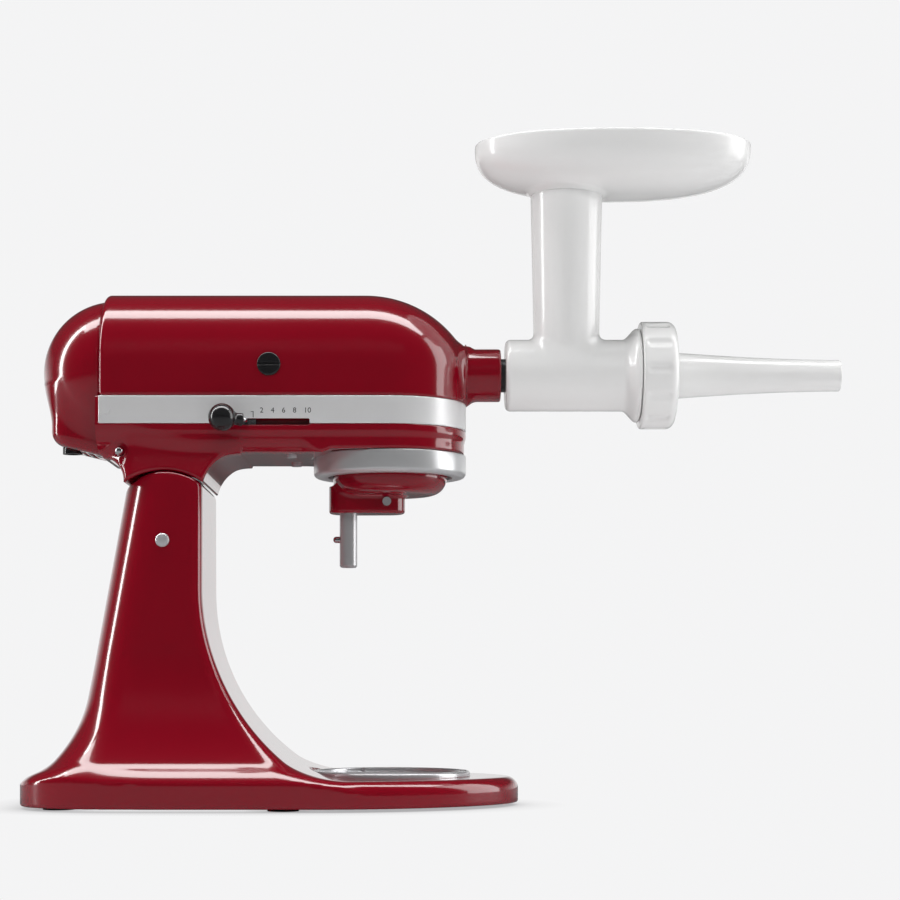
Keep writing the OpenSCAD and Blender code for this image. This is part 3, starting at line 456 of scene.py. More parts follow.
def lathe(name, outline, center, axis, steps=96):
    """Turns an outline of (radius, distance along the axis) points, in millimetres, about an axis."""
    axis = np.array(axis, float)
    first = np.array([0, 0, 1.0]) if abs(axis[2]) < 0.9 else np.array([1.0, 0, 0])
    across = np.cross(axis, first)
    points, faces = [], []
    count = len(outline)
    for i in range(steps):
        turn = 2 * math.pi * i / steps
        radial = math.cos(turn) * first + math.sin(turn) * across
        points += [np.array(center) + r * radial + t * axis for r, t in outline]
    for i in range(steps):
        a, b = i * count, (i + 1) % steps * count
        faces += [(a + j, a + j + 1, b + j + 1, b + j) for j in range(count - 1)]
    piece = add_mesh(name, np.array(points) * MM, faces)
    clean(piece)
    return piece


def clean(piece, merge=1e-6):
    """Joins doubled points and turns all faces outwards."""
    shape = bmesh.new()
    shape.from_mesh(piece.data)
    bmesh.ops.remove_doubles(shape, verts=shape.verts, dist=merge)
    bmesh.ops.dissolve_degenerate(shape, edges=shape.edges, dist=merge)
    bmesh.ops.recalc_face_normals(shape, faces=shape.faces)
    shape.to_mesh(piece.data)
    shape.free()
    piece.data.update()


def curve_of(cx, cy, r, start, end, steps=6):
    """Points along a round corner of an outline, with its angles in degrees."""
    angles = [math.radians(start + (end - start) * i / steps) for i in range(steps + 1)]
    return [(cx + r * math.cos(a), cy + r * math.sin(a)) for a in angles]


def sharpen(piece, angle=35):
    """Keeps edges steeper than the angle crisp under smooth shading."""
    piece.data.set_sharp_from_angle(angle=math.radians(angle))


CHROME = finish("chrome_plate", (0.82, 0.83, 0.85), 0.07, metal=1.0, scale=300, bump=0.004, spread=0.02,
                tint=0.02)
RUBBER = finish("foot_rubber", (0.018, 0.018, 0.018), 0.7, scale=900, bump=0.15)
MACHINED = finish("machined_steel", (0.52, 0.53, 0.55), 0.26, metal=1.0, scale=500, stretch=(1, 1, 9),
                  bump=0.05)
PIN_STEEL = finish("turned_pin_steel", (0.72, 0.72, 0.74), 0.24, metal=0.6, scale=400, bump=0.01,
                   spread=0.03)

dress(RUBBER, "rubber_feet")
dress(MACHINED, "clamp_plate_screws")

PLATE_LOW, PLATE_HIGH = mm("bowl_clamp_plate")
PLATE_R = PLATE_HIGH[0]


def clamp_plate_field(x, y, z):
    r = np.hypot(x, y)
    rim, floor = 6.0, PLATE_LOW[2] + 1.5
    disc = rounded_cut(r - PLATE_R, z - PLATE_HIGH[2], 1.9)
    well = np.maximum(r - (PLATE_R - rim), floor - z)
    turn = np.arctan2(y, x)
    third = 2 * math.pi / 3
    near = (turn + third / 2) % third - third / 2
    pocket = np.maximum(np.maximum(np.abs(r * np.sin(near)) - 7, r - PLATE_R + 2.6), floor - z)
    pocket = np.maximum(pocket, PLATE_R - rim - 4 - r)
    plate = rounded_cut(disc, -np.minimum(well, pocket), 0.7)
    return np.maximum(plate, PLATE_LOW[2] - z)


plate = cast("clamp_plate", clamp_plate_field, PLATE_LOW, PLATE_HIGH, 0.8)
place_piece(plate, PIN_STEEL, "stand", "chrome", "bowl_clamp_plate")

pin_r = (PIN_HIGH[2] - PIN_LOW[2]) / 2
pin_half, dome_rise = PIN_HIGH[1], 2.0
dome = [(pin_r * math.sin(a), pin_half - dome_rise * (1 - math.cos(a)))
        for a in np.linspace(0, math.pi / 2, 9)]
pin_outline = [(r, -t) for r, t in dome] + dome[::-1]
pin = lathe("hinge_pin_rod", pin_outline, (PIN_X, 0, PIN_Z), (0, 1, 0), 48)
place_piece(pin, PIN_STEEL, "stand", "chrome", "hinge_pin")

# ---------- Lower housing of the head ----------
# The lower gear and motor case is a second enamelled casting. Its neck sits over the column's round top, and
# a tongue and drum inside the neck turn on the hinge pin. A slot in its side passes the speed lever.

HEAD_LOW, HEAD_HIGH = mm("head_lower_housing")
SEAM_X = HEAD_LOW[0]
HALF = HEAD_HIGH[1]
BAND_LOW, BAND_HIGH = mm("trim_band")
RING_LOW, RING_HIGH = mm("planetary_trim_ring")
UNDER_Z = AXIS_Z - 59
NOSE_X = RING_HIGH[0]
LOCK_LOW, LOCK_HIGH = mm("lock_rod")
LOCK_X, LOCK_Z = (LOCK_LOW[0] + LOCK_HIGH[0]) / 2, (LOCK_LOW[2] + LOCK_HIGH[2]) / 2
LEVER_LOW, LEVER_HIGH = mm("speed_lever_rod")
LEVER_X = LEVER_HIGH[0] - 1.5
LEVER_Z = (LEVER_LOW[2] + LEVER_HIGH[2]) / 2
LEVER_TRAVEL = 40


def nose_plan(x, y, half, nose_x):
    """Distance outside the head's outline from above: straight sides and a round nose."""
    return np.hypot(np.maximum(x - (nose_x - half), 0), y) - half


def lever_slot(x, y, z, depth):
    start, end = LEVER_X - 4, LEVER_X + LEVER_TRAVEL + 2.5
    middle, reach = (start + end) / 2, (end - start) / 2
    rounded = rounded_cut(np.abs(x - middle) - reach, np.abs(z - LEVER_Z) - 2.1, 1.0)
    behind = np.maximum(np.maximum(np.abs(x - middle) - reach - 6, np.abs(z - LEVER_Z) - 4.8), -49.4 - y)
    return np.maximum(np.minimum(rounded, behind), y + HALF - depth)


def neck_field(x, y, z):
    """The part between the case and the column's arch, with a round hollow before it and one behind."""
    front_x, front_r, rear_r = -126, 26.0, 18.0
    front = front_r - np.hypot(x - front_x - front_r, np.minimum(z - UNDER_Z + front_r, front_r))
    front = np.where(x > front_x + front_r, 9.0, front)
    rear = rear_r - np.hypot(x - SEAM_X + 1.5, z - UNDER_Z + rear_r + 2)
    arch = ARCH_R + 0.8 - np.hypot(x - PIN_X, z - PIN_Z)
    sides = np.maximum(np.maximum(front, rear), np.maximum(arch, SEAM_X + 1 - x))
    neck = np.maximum(sides, np.maximum(z - UNDER_Z - 12, PIN_Z + 34 - z))
    half = 56.0 - 4.5 * smooth_step((z - PIN_Z - 38) / 24) - 14 * smooth_step((-172 - x) / 26)
    return rounded_cut(neck, np.abs(y) - half, 3.0)


def lower_case_field(x, y, z):
    waist = smooth_step((AXIS_Z - 43.5 - z) / 6)
    sill = 2.0 + 8.0 * smooth_step((-46 - x) / 14) + 13.0 * smooth_step((-125 - x) / 66)
    bottom = UNDER_Z + (RING_HIGH[2] + 0.15 - UNDER_Z) * smooth_step((x + 46) / 8)
    case = rounded_cut(nose_plan(x, y, HALF - 0.3 - 1.2 * waist, NOSE_X - 1.2 * waist), bottom - z, sill)
    case = rounded_cut(case, z - BAND_HIGH[2], 1.0)
    case = np.where(z > BAND_LOW[2], np.maximum(case, nose_plan(x, y, HALF - 1.7, NOSE_X - 1.7)), case)
    case = rounded_union(case, neck_field(x, y, z), 5.0)
    # the drum and tongue that turn in the column's slot
    dx, dz = x - PIN_X, z - PIN_Z
    tongue = np.maximum(np.abs(dx) - 10, np.maximum(-dz, dz - 60))
    hinge = rounded_cut(np.minimum(np.hypot(dx, dz) - 21.0, tongue), np.abs(y) - 16, 1.0)
    case = np.maximum(np.minimum(case, hinge), pin_r + 0.05 - np.hypot(dx, dz))
    # the trim ring's seat, the carrier's well, the lock rod's bore and the speed lever's slot
    seat = np.maximum(np.hypot(x, y) - RING_HIGH[0] - 0.5, z - RING_HIGH[2] - 0.1)
    case = rounded_cut(case, -seat, 0.6)
    well = np.maximum(np.hypot(x, y) - 42, z - UNDER_Z - 9)
    case = rounded_cut(case, -well, 0.6)
    lx, lz = x - LOCK_X, z - LOCK_Z
    hole_r = 5.2
    teardrop = np.abs(lx) - hole_r * np.sqrt(np.clip(1 + lz / 10, 0, 1))
    drop = np.where(lz > 0, np.hypot(lx, lz) - hole_r, teardrop)
    case = rounded_cut(case, -np.maximum(drop, y + 48), 1.0)
    case = np.maximum(case, np.where(np.abs(y) > 20, 3.1 - np.hypot(lx, lz), -9))
    return np.maximum(case, -lever_slot(x, y, z, 9))


lower_case = cast("lower_case", lower_case_field, HEAD_LOW, HEAD_HIGH, 1.1)
place_piece(lower_case, ENAMEL, "head", "enamel", "head_lower_housing")

# ---------- Upper housing with the attachment hub ----------
# The top cover is one enamelled casting, nearly round in section, whose nose runs into the hub's socket by
# a soft fillet. It stands a little proud of the rear cap, and brush cap holes are bored through its sides.

UPPER_LOW, UPPER_HIGH = mm("head_upper_housing")
HUB_END = UPPER_HIGH[0]
HUB_R = 18.3
KNOB_LOW, KNOB_HIGH = mm("attachment_knob")
KNOB_X = (KNOB_LOW[0] + KNOB_HIGH[0]) / 2
SHANK_R = (mm("barrel_shank")[1][2] - mm("barrel_shank")[0][2]) / 2


def evened(field, x, y, z, reach=0.4):
    """A field divided by its slope, so that it reads as a distance near its surface."""
    steps = [field(x + a, y + b, z + c) - field(x - a, y - b, z - c)
             for a, b, c in ((reach, 0, 0), (0, reach, 0), (0, 0, reach))]
    slope = np.sqrt(sum(s ** 2 for s in steps)) / (2 * reach)
    return field(x, y, z) / np.maximum(slope, 0.2)


def cover_form(x, y, z):
    top = UPPER_HIGH[2] - AXIS_Z
    arc_r, arc_x = 81.0, -16.8
    up = z - AXIS_Z
    run = np.clip(x - arc_x, 0, arc_r * 0.97)
    height = np.maximum(top - arc_r + np.sqrt(arc_r ** 2 - run ** 2), 4)
    reach = np.clip(x - (NOSE_X - HALF), 0, HALF)
    width = np.sqrt(np.maximum(HALF ** 2 - reach ** 2, 9.0))
    fullness = 2.12
    high = np.maximum(up, 0)
    section = ((np.abs(y) / width) ** fullness + (high / height) ** fullness) ** (1 / fullness)
    scale = np.where(up > 0, np.minimum(width, height), width)
    return (section - 1) * np.minimum(scale, 55)


def upper_case_field(x, y, z):
    up = z - AXIS_Z
    case = np.maximum(evened(cover_form, x, y, z), nose_plan(x, y, HALF, NOSE_X))
    case = rounded_cut(case, BAND_HIGH[2] - z, 1.4)
    case = rounded_cut(case, SEAM_X - x, 3.4)
    from_axis = np.hypot(y, up)
    hub = np.maximum(rounded_cut(from_axis - HUB_R, x - HUB_END, 1.6), 30 - x)
    case = rounded_union(case, hub, 8.0)
    case = rounded_cut(case, -np.maximum(from_axis - SHANK_R - 0.1, 48 - x), 0.8)
    brush = np.where(np.abs(y) > 40, np.hypot(x - BRUSH_X, up) - 6.6, 9)
    return rounded_cut(case, -brush, 0.6)


BRUSH_LOW, BRUSH_HIGH = mm("brush_caps")
BRUSH_X = (BRUSH_LOW[0] + BRUSH_HIGH[0]) / 2
upper_case = cast("upper_case", upper_case_field, UPPER_LOW, UPPER_HIGH, 1.25)
place_piece(upper_case, ENAMEL, "head", "enamel", "head_upper_housing")

# ---------- Rear cap ----------
# The motor's end cover is an enamelled casting: a dome that meets the top cover at the seam, and a narrower
# skirt below it that carries the air vents and the cord's inlet gland underneath.

CAP_LOW, CAP_HIGH = mm("rear_cap")


def rear_cap_field(x, y, z):
    dome_r, dome_x = HALF - 4.0, SEAM_X + 5.6
    up = z - AXIS_Z
    dome = np.sqrt((x - dome_x) ** 2 + y ** 2 + up ** 2) - dome_r
    slope = math.hypot(1, 0.2)
    floor = (-(up + 50) - 0.24 * (x + 233)) / slope
    skirt = rounded_cut(rounded_cut(-233.5 - x, np.abs(y) - 30, 13.0), floor, 8.0)
    skirt = np.maximum(skirt, up + 14)
    cap = rounded_union(dome, np.maximum(skirt, x - SEAM_X - 8), 9.0)
    cap = rounded_cut(cap, x - SEAM_X + 0.1, 1.6)
    vents = 9.0
    for row in range(5):
        at = -229 + 5.5 * row
        if abs(row - 1.6) > 0.9:
            vents = np.minimum(vents, np.maximum(np.abs(x - at) - 1.2, np.abs(y) - 16))
    vents = np.maximum(vents, up + 46)
    return rounded_cut(cap, -vents, 0.6)


rear_cap = cast("motor_end_cap", rear_cap_field, CAP_LOW, CAP_HIGH, 1.25)
place_piece(rear_cap, ENAMEL, "head", "enamel", "rear_cap")
BLACK_PLASTIC = finish("black_phenolic", (0.012, 0.012, 0.013), 0.16, coat=0.5, scale=500, bump=0.02)
dress(BLACK_PLASTIC, "cord_gland")

# ---------- Trim band ----------
# A strip of brushed steel is bent round the head's waist and let into the castings. The speed lever comes
# out through its slot, and the speed marks beside the slot are printed on it in black ink.

BRUSHED = finish("brushed_steel", (0.88, 0.88, 0.885), 0.34, metal=0.35, scale=60, stretch=(1, 1, 45),
                 bump=0.03, spread=0.05, tint=0.05, patch=14)


def trim_band_field(x, y, z):
    thick = 1.5
    outside = nose_plan(x, y, HALF, NOSE_X)
    from_middle = np.abs(z - (BAND_LOW[2] + BAND_HIGH[2]) / 2)
    edge = from_middle - (BAND_HIGH[2] - BAND_LOW[2]) / 2
    strip = rounded_cut(np.maximum(outside, -thick - outside), edge, 0.5)
    strip = rounded_cut(strip, BAND_LOW[0] - x, 0.5)
    return rounded_cut(strip, -lever_slot(x, y, z, 6), 0.4)


trim_strip = cast("trim_strip", trim_band_field, BAND_LOW, BAND_HIGH, 0.7)
place_piece(trim_strip, BRUSHED, "head", "brushed_trim", "trim_band")
dress(BRUSHED, "trim_band_screws")

INK = finish("black_ink", (0.012, 0.012, 0.013), 0.45, scale=700, bump=0.02)


def printed_mark(name, words, x, z, height):
    """Printed characters on the camera side of the band, centred at x with their foot at z."""
    curve = bpy.data.curves.new(name, "FONT")
    curve.body = words
    curve.size = height * MM * 1.42
    curve.align_x = "CENTER"
    curve.extrude = 0.00002
    curve.resolution_u = 6
    source = bpy.data.objects.new(name, curve)
    bpy.context.scene.collection.objects.link(source)
    mesh = bpy.data.meshes.new_from_object(source.evaluated_get(bpy.context.evaluated_depsgraph_get()))
    bpy.data.objects.remove(source)
    mark = bpy.data.objects.new(name, mesh)
    bpy.context.scene.collection.objects.link(mark)
    stand_up(mark, Vector((x * MM, -HALF * MM - 0.00002, z * MM)))
    clean(mark)
    return mark


def stand_up(piece, place):
    """Turns a flat mesh to face the camera side and moves it to its place."""
    for vertex in piece.data.vertices:
        x, y, z = vertex.co
        vertex.co = (place.x + x, place.y - z, place.z + y)


def box_mesh(name, low, high):
    """A block between two corners, in millimetres."""
    shape = bmesh.new()
    bmesh.ops.create_cube(shape, size=1)
    for vertex in shape.verts:
        for i in range(3):
            vertex.co[i] = (low[i] if vertex.co[i] < 0 else high[i]) * MM
    mesh = bpy.data.meshes.new(name)
    shape.to_mesh(mesh)
    shape.free()
    for face in mesh.polygons:
        face.use_smooth = True
    piece = bpy.data.objects.new(name, mesh)
    bpy.context.scene.collection.objects.link(piece)
    return piece


mark_z, mark_height = LEVER_Z + 5.9, 3.5
mark_start, mark_gap, two_digit_shift = LEVER_X + 10.2, 7.4, 1.3
for i, speed in enumerate(("2", "4", "6", "8", "10")):
    mark_x = mark_start + mark_gap * i + (two_digit_shift if len(speed) > 1 else 0)
    mark = printed_mark("speed_mark_" + speed, speed, mark_x, mark_z, mark_height)
    place_piece(mark, INK, "head", "black_plastic")
tick_x = LEVER_X + 4.5
tick_face = (-HALF - 0.03, -HALF + 0.02)
tick_bars = (("tick_post", tick_x - 0.25, tick_x + 0.25, mark_z - 3.4, mark_z + 0.9),
             ("tick_arm", tick_x - 1.6, tick_x + 0.25, mark_z + 0.5, mark_z + 0.9))
for name, start, end, foot, head in tick_bars:
    bar = box_mesh(name, (start, tick_face[0], foot), (end, tick_face[1], head))
    place_piece(bar, INK, "head", "black_plastic")

# ---------- Speed lever ----------
# The lever is a chromed rod bent round into the head, with a black phenolic ball and neck pressed on its
# end. Inside the head a machined steel link takes its movement to the speed control.

KNOB_AT = [(mm("speed_knob")[0][i] + mm("speed_knob")[1][i]) / 2 for i in range(3)]
BALL_R = (mm("speed_knob")[1][2] - mm("speed_knob")[0][2]) / 2
BALL = np.array([mm("speed_knob")[0][0] + BALL_R, mm("speed_knob")[0][1] + BALL_R, KNOB_AT[2]])
NECK_END = BALL + np.array([BALL_R + 4.2, 3.6, -1.3])


def capsule(x, y, z, a, b):
    """Distance to the line between two points, and how far along it from 0 to 1."""
    a, b = np.array(a, float), np.array(b, float)
    run = b - a
    t = np.clip(((x - a[0]) * run[0] + (y - a[1]) * run[1] + (z - a[2]) * run[2]) / (run @ run), 0, 1)
    off = [v - a[i] - t * run[i] for i, v in enumerate((x, y, z))]
    return np.sqrt(off[0] ** 2 + off[1] ** 2 + off[2] ** 2), t


def ball_knob_field(x, y, z):
    ball = np.sqrt((x - BALL[0]) ** 2 + (y - BALL[1]) ** 2 + (z - BALL[2]) ** 2) - BALL_R
    line, along = capsule(x, y, z, BALL, NECK_END)
    run = NECK_END - BALL
    ahead = (x - NECK_END[0]) * run[0] + (y - NECK_END[1]) * run[1] + (z - NECK_END[2]) * run[2]
    ahead = ahead / np.linalg.norm(run)
    neck = rounded_cut(line - 4.1 - 0.4 * smooth_step(along * 3 - 2), ahead, 1.0)
    return rounded_union(ball, neck, 1.6)


ball_knob = cast("speed_ball_knob", ball_knob_field, mm("speed_knob")[0], mm("speed_knob")[1] + 2, 0.55)
place_piece(ball_knob, BLACK_PLASTIC, "speed_lever", "black_plastic", "speed_knob")


def swept_rod(name, path, r, sides=20):
    """A round rod with domed ends, along a path of points in millimetres."""
    path = [np.array(p, float) for p in path]
    rings, radii = [], []
    first, last = path[1] - path[0], path[-1] - path[-2]
    dome = [(1 - math.cos(a), math.sin(a)) for a in np.linspace(0.12, math.pi / 2, 5)]
    for out, share in dome:
        rings.append(path[0] + first / np.linalg.norm(first) * r * out)
        radii.append(r * share)
    rings += path[1:-1]
    radii += [r] * (len(path) - 2)
    for out, share in reversed(dome):
        rings.append(path[-1] - last / np.linalg.norm(last) * r * out)
        radii.append(r * share)
    points, side = [], np.array([0, 0, 1.0])
    for i, place in enumerate(rings):
        run = rings[min(i + 1, len(rings) - 1)] - rings[max(i - 1, 0)]
        run = run / np.linalg.norm(run)
        side = side - run * (side @ run)
        side = side / np.linalg.norm(side)
        across = np.cross(run, side)
        for k in range(sides):
            turn = 2 * math.pi * k / sides
            points.append(place + radii[i] * (math.cos(turn) * side + math.sin(turn) * across))
    count = len(rings)
    faces = []
    for i in range(count - 1):
        here, ahead = i * sides, (i + 1) * sides
        faces += [(here + k, here + (k + 1) % sides, ahead + (k + 1) % sides, ahead + k)
                  for k in range(sides)]
    faces += [tuple(range(sides)), tuple(range((count - 1) * sides, count * sides))]
    piece = add_mesh(name, np.array(points) * MM, faces)
    clean(piece)
    return piece


def bend(a, corner, b, r, steps=8):
    """Points of a path from a to b with a round bend of about r at the corner."""
    a, corner, b = (np.array(p, float) for p in (a, corner, b))
    one, two = (a - corner) / np.linalg.norm(a - corner), (b - corner) / np.linalg.norm(b - corner)
    start, end = corner + one * r, corner + two * r
    arc = [(1 - t) ** 2 * start + 2 * t * (1 - t) * corner + t ** 2 * end for t in np.linspace(0, 1, steps)]
    return [a, *arc, b]


ROD_R = 1.45
rod_corner = (LEVER_X, -HALF - 12.2, LEVER_Z)
lever_rod = swept_rod("speed_rod", bend(NECK_END - np.array([3, 0.6, 0]), rod_corner,
                                        (LEVER_X, -HALF + 8, LEVER_Z), 3.2), ROD_R)
place_piece(lever_rod, CHROME, "speed_lever", "chrome", "speed_lever_rod")
dress(MACHINED, "speed_link")

# ---------- Motor brush caps ----------
# One black phenolic screw cap sits in each side of the top cover over a motor brush. Its face is slightly
# domed, with a wide coin slot to unscrew it by.

CAP_R = (BRUSH_HIGH[2] - BRUSH_LOW[2]) / 2
CAP_FACE = BRUSH_HIGH[1]


def brush_cap_field(x, y, z):
    r = np.hypot(x - BRUSH_X, z - AXIS_Z)
    thick, slot_half, slot_deep = 3.2, 0.75, 1.7
    face = CAP_FACE - 0.4 * (r / CAP_R) ** 2
    disc = rounded_cut(r - CAP_R, np.abs(y) - face, 0.9)
    disc = np.maximum(disc, CAP_FACE - thick - np.abs(y))
    slot = np.maximum(np.abs(z - AXIS_Z) - slot_half, CAP_FACE - slot_deep - np.abs(y))
    return rounded_cut(disc, -slot, 0.25)


for side, name in ((-1, "near"), (1, "far")):
    reach = sorted((side * (CAP_FACE - 4), side * CAP_FACE))
    cap = cast("brush_cap_" + name, brush_cap_field, (BRUSH_LOW[0], reach[0], BRUSH_LOW[2]),
               (BRUSH_HIGH[0], reach[1], BRUSH_HIGH[2]), 0.4)
    place_piece(cap, BLACK_PLASTIC, "head", "black_plastic", *(["brush_caps"] if side < 0 else []))

# ---------- Head lock ----------
# A chromed rod passes through the head above the hinge. On the far side it carries a flat chromed lever with
# a round grip, which locks the head down or frees it to tilt.

lock_path = [(LOCK_X, y, LOCK_Z) for y in (LOCK_LOW[1], 0, LOCK_HIGH[1])]
lock_pin = swept_rod("lock_pin", lock_path, (LOCK_HIGH[0] - LOCK_LOW[0]) / 2, 32)
place_piece(lock_pin, CHROME, "lock_lever", "chrome", "lock_rod")
dress(CHROME, "lock_lever_arm")

# ---------- Planetary trim ring ----------
# A spun and brushed steel ring fits up under the nose of the head, and covers the edge of the planetary gear
# case. Its lower lip is rolled inwards.

BRUSHED_RING = finish("brushed_ring", (0.8, 0.81, 0.82), 0.3, metal=0.65, scale=60, stretch=(1, 1, 45),
                      bump=0.02, spread=0.05, tint=0.05, patch=14)
ring_r, ring_top, ring_foot = RING_HIGH[0], RING_HIGH[2], RING_LOW[2]
ring_outline = ([(ring_r - 6.2, ring_top), (ring_r - 6.2, ring_foot + 4.2), (ring_r - 10, ring_foot + 4.2)]
                + curve_of(ring_r - 9.2, ring_foot + 0.8, 0.8, 180, 270, 4)
                + curve_of(ring_r - 3.4, ring_foot + 3.4, 3.4, 270, 360, 8)
                + curve_of(ring_r - 0.7, ring_top - 0.7, 0.7, 0, 90, 4))
ring = lathe("planetary_ring", ring_outline + ring_outline[:1], (0, 0, 0), (0, 0, 1), 160)
sharpen(ring, 50)
place_piece(ring, BRUSHED_RING, "head", "brushed_trim", "planetary_trim_ring")

# ---------- Planetary carrier ----------
# The carrier is an enamelled casting that turns on the main shaft. Its lower block holds the beater shaft to
# one side, and a steel pin fixes it to the main shaft.

BODY_LOW, BODY_HIGH = mm("planetary_carrier")
BEATER_LOW, BEATER_HIGH = mm("beater_shaft")
BEATER_X = (BEATER_LOW[0] + BEATER_HIGH[0]) / 2
BEATER_R = (BEATER_HIGH[0] - BEATER_LOW[0]) / 2
CARRIER_PIN_Z = (mm("carrier_pin")[0][2] + mm("carrier_pin")[1][2]) / 2


def carrier_field(x, y, z):
    disc_r = BODY_HIGH[0]
    disc_foot = BODY_HIGH[2] - 15
    disc = rounded_cut(np.hypot(x, y) - disc_r, disc_foot - z, 12.5)
    line, _ = capsule(x, y, z * 0, (BEATER_X, 0, 0), (-2, 0, 0))
    lobe = 13.6 - 1.0 * smooth_step((x - BEATER_X) / -BEATER_X)
    block = rounded_cut(line - lobe, BODY_LOW[2] - z, 2.2)
    block = np.maximum(block, z - disc_foot - 6)
    body = rounded_union(disc, block, 3.2)
    body = rounded_cut(body, z - BODY_HIGH[2], 1.0)
    bore = BEATER_R + 0.05 - np.hypot(x - BEATER_X, y)
    pin_well = 3.4 - np.hypot(x + 2, z - CARRIER_PIN_Z)
    body = rounded_cut(body, bore, 0.5)
    return np.maximum(body, np.where(y < -11, np.minimum(pin_well, -y - 12.4), -9))


carrier = cast("carrier_casting", carrier_field, BODY_LOW, BODY_HIGH, 0.8)
place_piece(carrier, ENAMEL, "carrier", "enamel", "planetary_carrier")
dress(PIN_STEEL, "carrier_pin")

# ---------- Beater shaft ----------
# The beater shaft is a ground steel rod with a chamfered end, held in the carrier. A chromed cross pin
# through it locks the beater or whisk.

STEEL = finish("ground_steel", (0.6, 0.6, 0.61), 0.3, metal=0.6, scale=90, stretch=(1, 1, 14), bump=0.05)
shaft_foot, shaft_top = BEATER_LOW[2], BEATER_HIGH[2]
shaft_outline = [(0, shaft_foot), (BEATER_R - 1.3, shaft_foot), (BEATER_R - 0.9, shaft_foot + 0.2),
                 (BEATER_R, shaft_foot + 1.3), (BEATER_R, shaft_top - 0.5), (BEATER_R - 0.5, shaft_top),
                 (0, shaft_top)]
shaft = lathe("beater_rod", shaft_outline, (BEATER_X, 0, 0), (0, 0, 1), 64)
sharpen(shaft)
place_piece(shaft, STEEL, "beater", "steel", "beater_shaft")
CROSS_LOW, CROSS_HIGH = mm("beater_cross_pin")
cross_z = (CROSS_LOW[2] + CROSS_HIGH[2]) / 2
cross_path = [(x, 0, cross_z) for x in (CROSS_LOW[0], BEATER_X, CROSS_HIGH[0] - 0.1)]
cross = swept_rod("cross_pin", cross_path, (CROSS_HIGH[2] - CROSS_LOW[2]) / 2, 24)
place_piece(cross, CHROME, "beater", "chrome", "beater_cross_pin")

# ---------- Grinder barrel ----------
# The grinder's body is one gloss white moulding: a feed tube runs down into the barrel with a soft fillet,
# and the barrel flares at its mouth to carry the thread of the ring nut. Its shank is a dark moulding.

WHITE_GLOSS = finish("white_moulding", (0.9, 0.9, 0.895), 0.22, coat=0.4, scale=260, bump=0.01, spread=0.03,
                     tint=0.02)
BARREL_LOW, BARREL_HIGH = mm("grinder_barrel")
NUT_LOW, NUT_HIGH = mm("ring_nut")
TRAY_LOW, TRAY_HIGH = mm("food_tray")
BARREL_R = 24.85
BORE_R = 20.5
THREAD_R = (NUT_HIGH[2] - NUT_LOW[2]) / 2 - 7.5
FEED_X = BARREL_LOW[0] + 43.0
FEED_R = 25.0


def barrel_field(x, y, z):
    up = z - AXIS_Z
    from_axis = np.hypot(y, up)
    flare = smooth_step((x - NUT_LOW[0] + 12) / 10)
    body = rounded_cut(from_axis - BARREL_R - 7.7 * flare, BARREL_LOW[0] - x, 3.6)
    body = rounded_cut(body, x - NUT_LOW[0] + 0.4, 0.9)
    tube_r = FEED_R - 2.6 * (1 - np.clip(up / (BARREL_HIGH[2] - AXIS_Z), 0, 1))
    tube = rounded_cut(np.hypot(x - FEED_X, y) - tube_r, z - BARREL_HIGH[2], 0.8)
    tube = np.maximum(tube, -up)
    outside = rounded_union(body, tube, 4.5)
    thread = np.maximum(from_axis - THREAD_R, np.maximum(x - BARREL_HIGH[0], NUT_LOW[0] - 4 - x))
    outside = np.minimum(outside, thread)
    bore = np.maximum(from_axis - BORE_R, BARREL_LOW[0] + 4 - x)
    feed = np.maximum(np.hypot(x - FEED_X, y) - BORE_R, -up)
    mouth = np.maximum(from_axis - THREAD_R + 4, NUT_LOW[0] + 2 - x)
    socket = np.maximum(from_axis - SHANK_R, x - BARREL_LOW[0] - 5)
    return rounded_cut(outside, -np.minimum(np.minimum(bore, feed), np.minimum(mouth, socket)), 0.6)


barrel = cast("grinder_body", barrel_field, BARREL_LOW, BARREL_HIGH, 1.1)
place_piece(barrel, WHITE_GLOSS, "grinder", "white_plastic", "grinder_barrel")
DARK_SHANK = finish("dark_shank", (0.03, 0.03, 0.032), 0.32, coat=0.2, scale=400, bump=0.03)
dress(DARK_SHANK, "barrel_shank")

# ---------- Food tray ----------
# The tray is a long oval dish moulded in the same white. A collar under it rests on the feed tube, and its
# spigot fits inside; the food drops through a round hole to one side.

DISH_X = (TRAY_LOW[0] + TRAY_HIGH[0]) / 2
DISH_A, DISH_B = (TRAY_HIGH[0] - TRAY_LOW[0]) / 2, TRAY_HIGH[1]
SEAT_Z = BARREL_HIGH[2]


def dish_shape(x, y, z, shrink, foot):
    """Distance outside a bowl with an oval rim and a round bottom at the height foot."""
    a, b, depth = DISH_A - shrink, DISH_B - shrink, TRAY_HIGH[2] - foot
    fullness, round_up = 2.3, 3.0
    px, py = np.abs(x - DISH_X) / a, np.abs(y) / b
    low = np.maximum(TRAY_HIGH[2] - z, 0) / depth
    rim = np.maximum(px ** fullness + py ** fullness, 1e-9) ** (1 / fullness)
    g = np.maximum(rim ** round_up + low ** round_up, 1e-9) ** (1 / round_up)
    flat = np.hypot((px / rim) ** (fullness - 1) / a, (py / rim) ** (fullness - 1) / b)
    slope = np.hypot((rim / g) ** (round_up - 1) * flat, (low / g) ** (round_up - 1) / depth)
    return (g - 1) / np.maximum(slope, 1e-4)


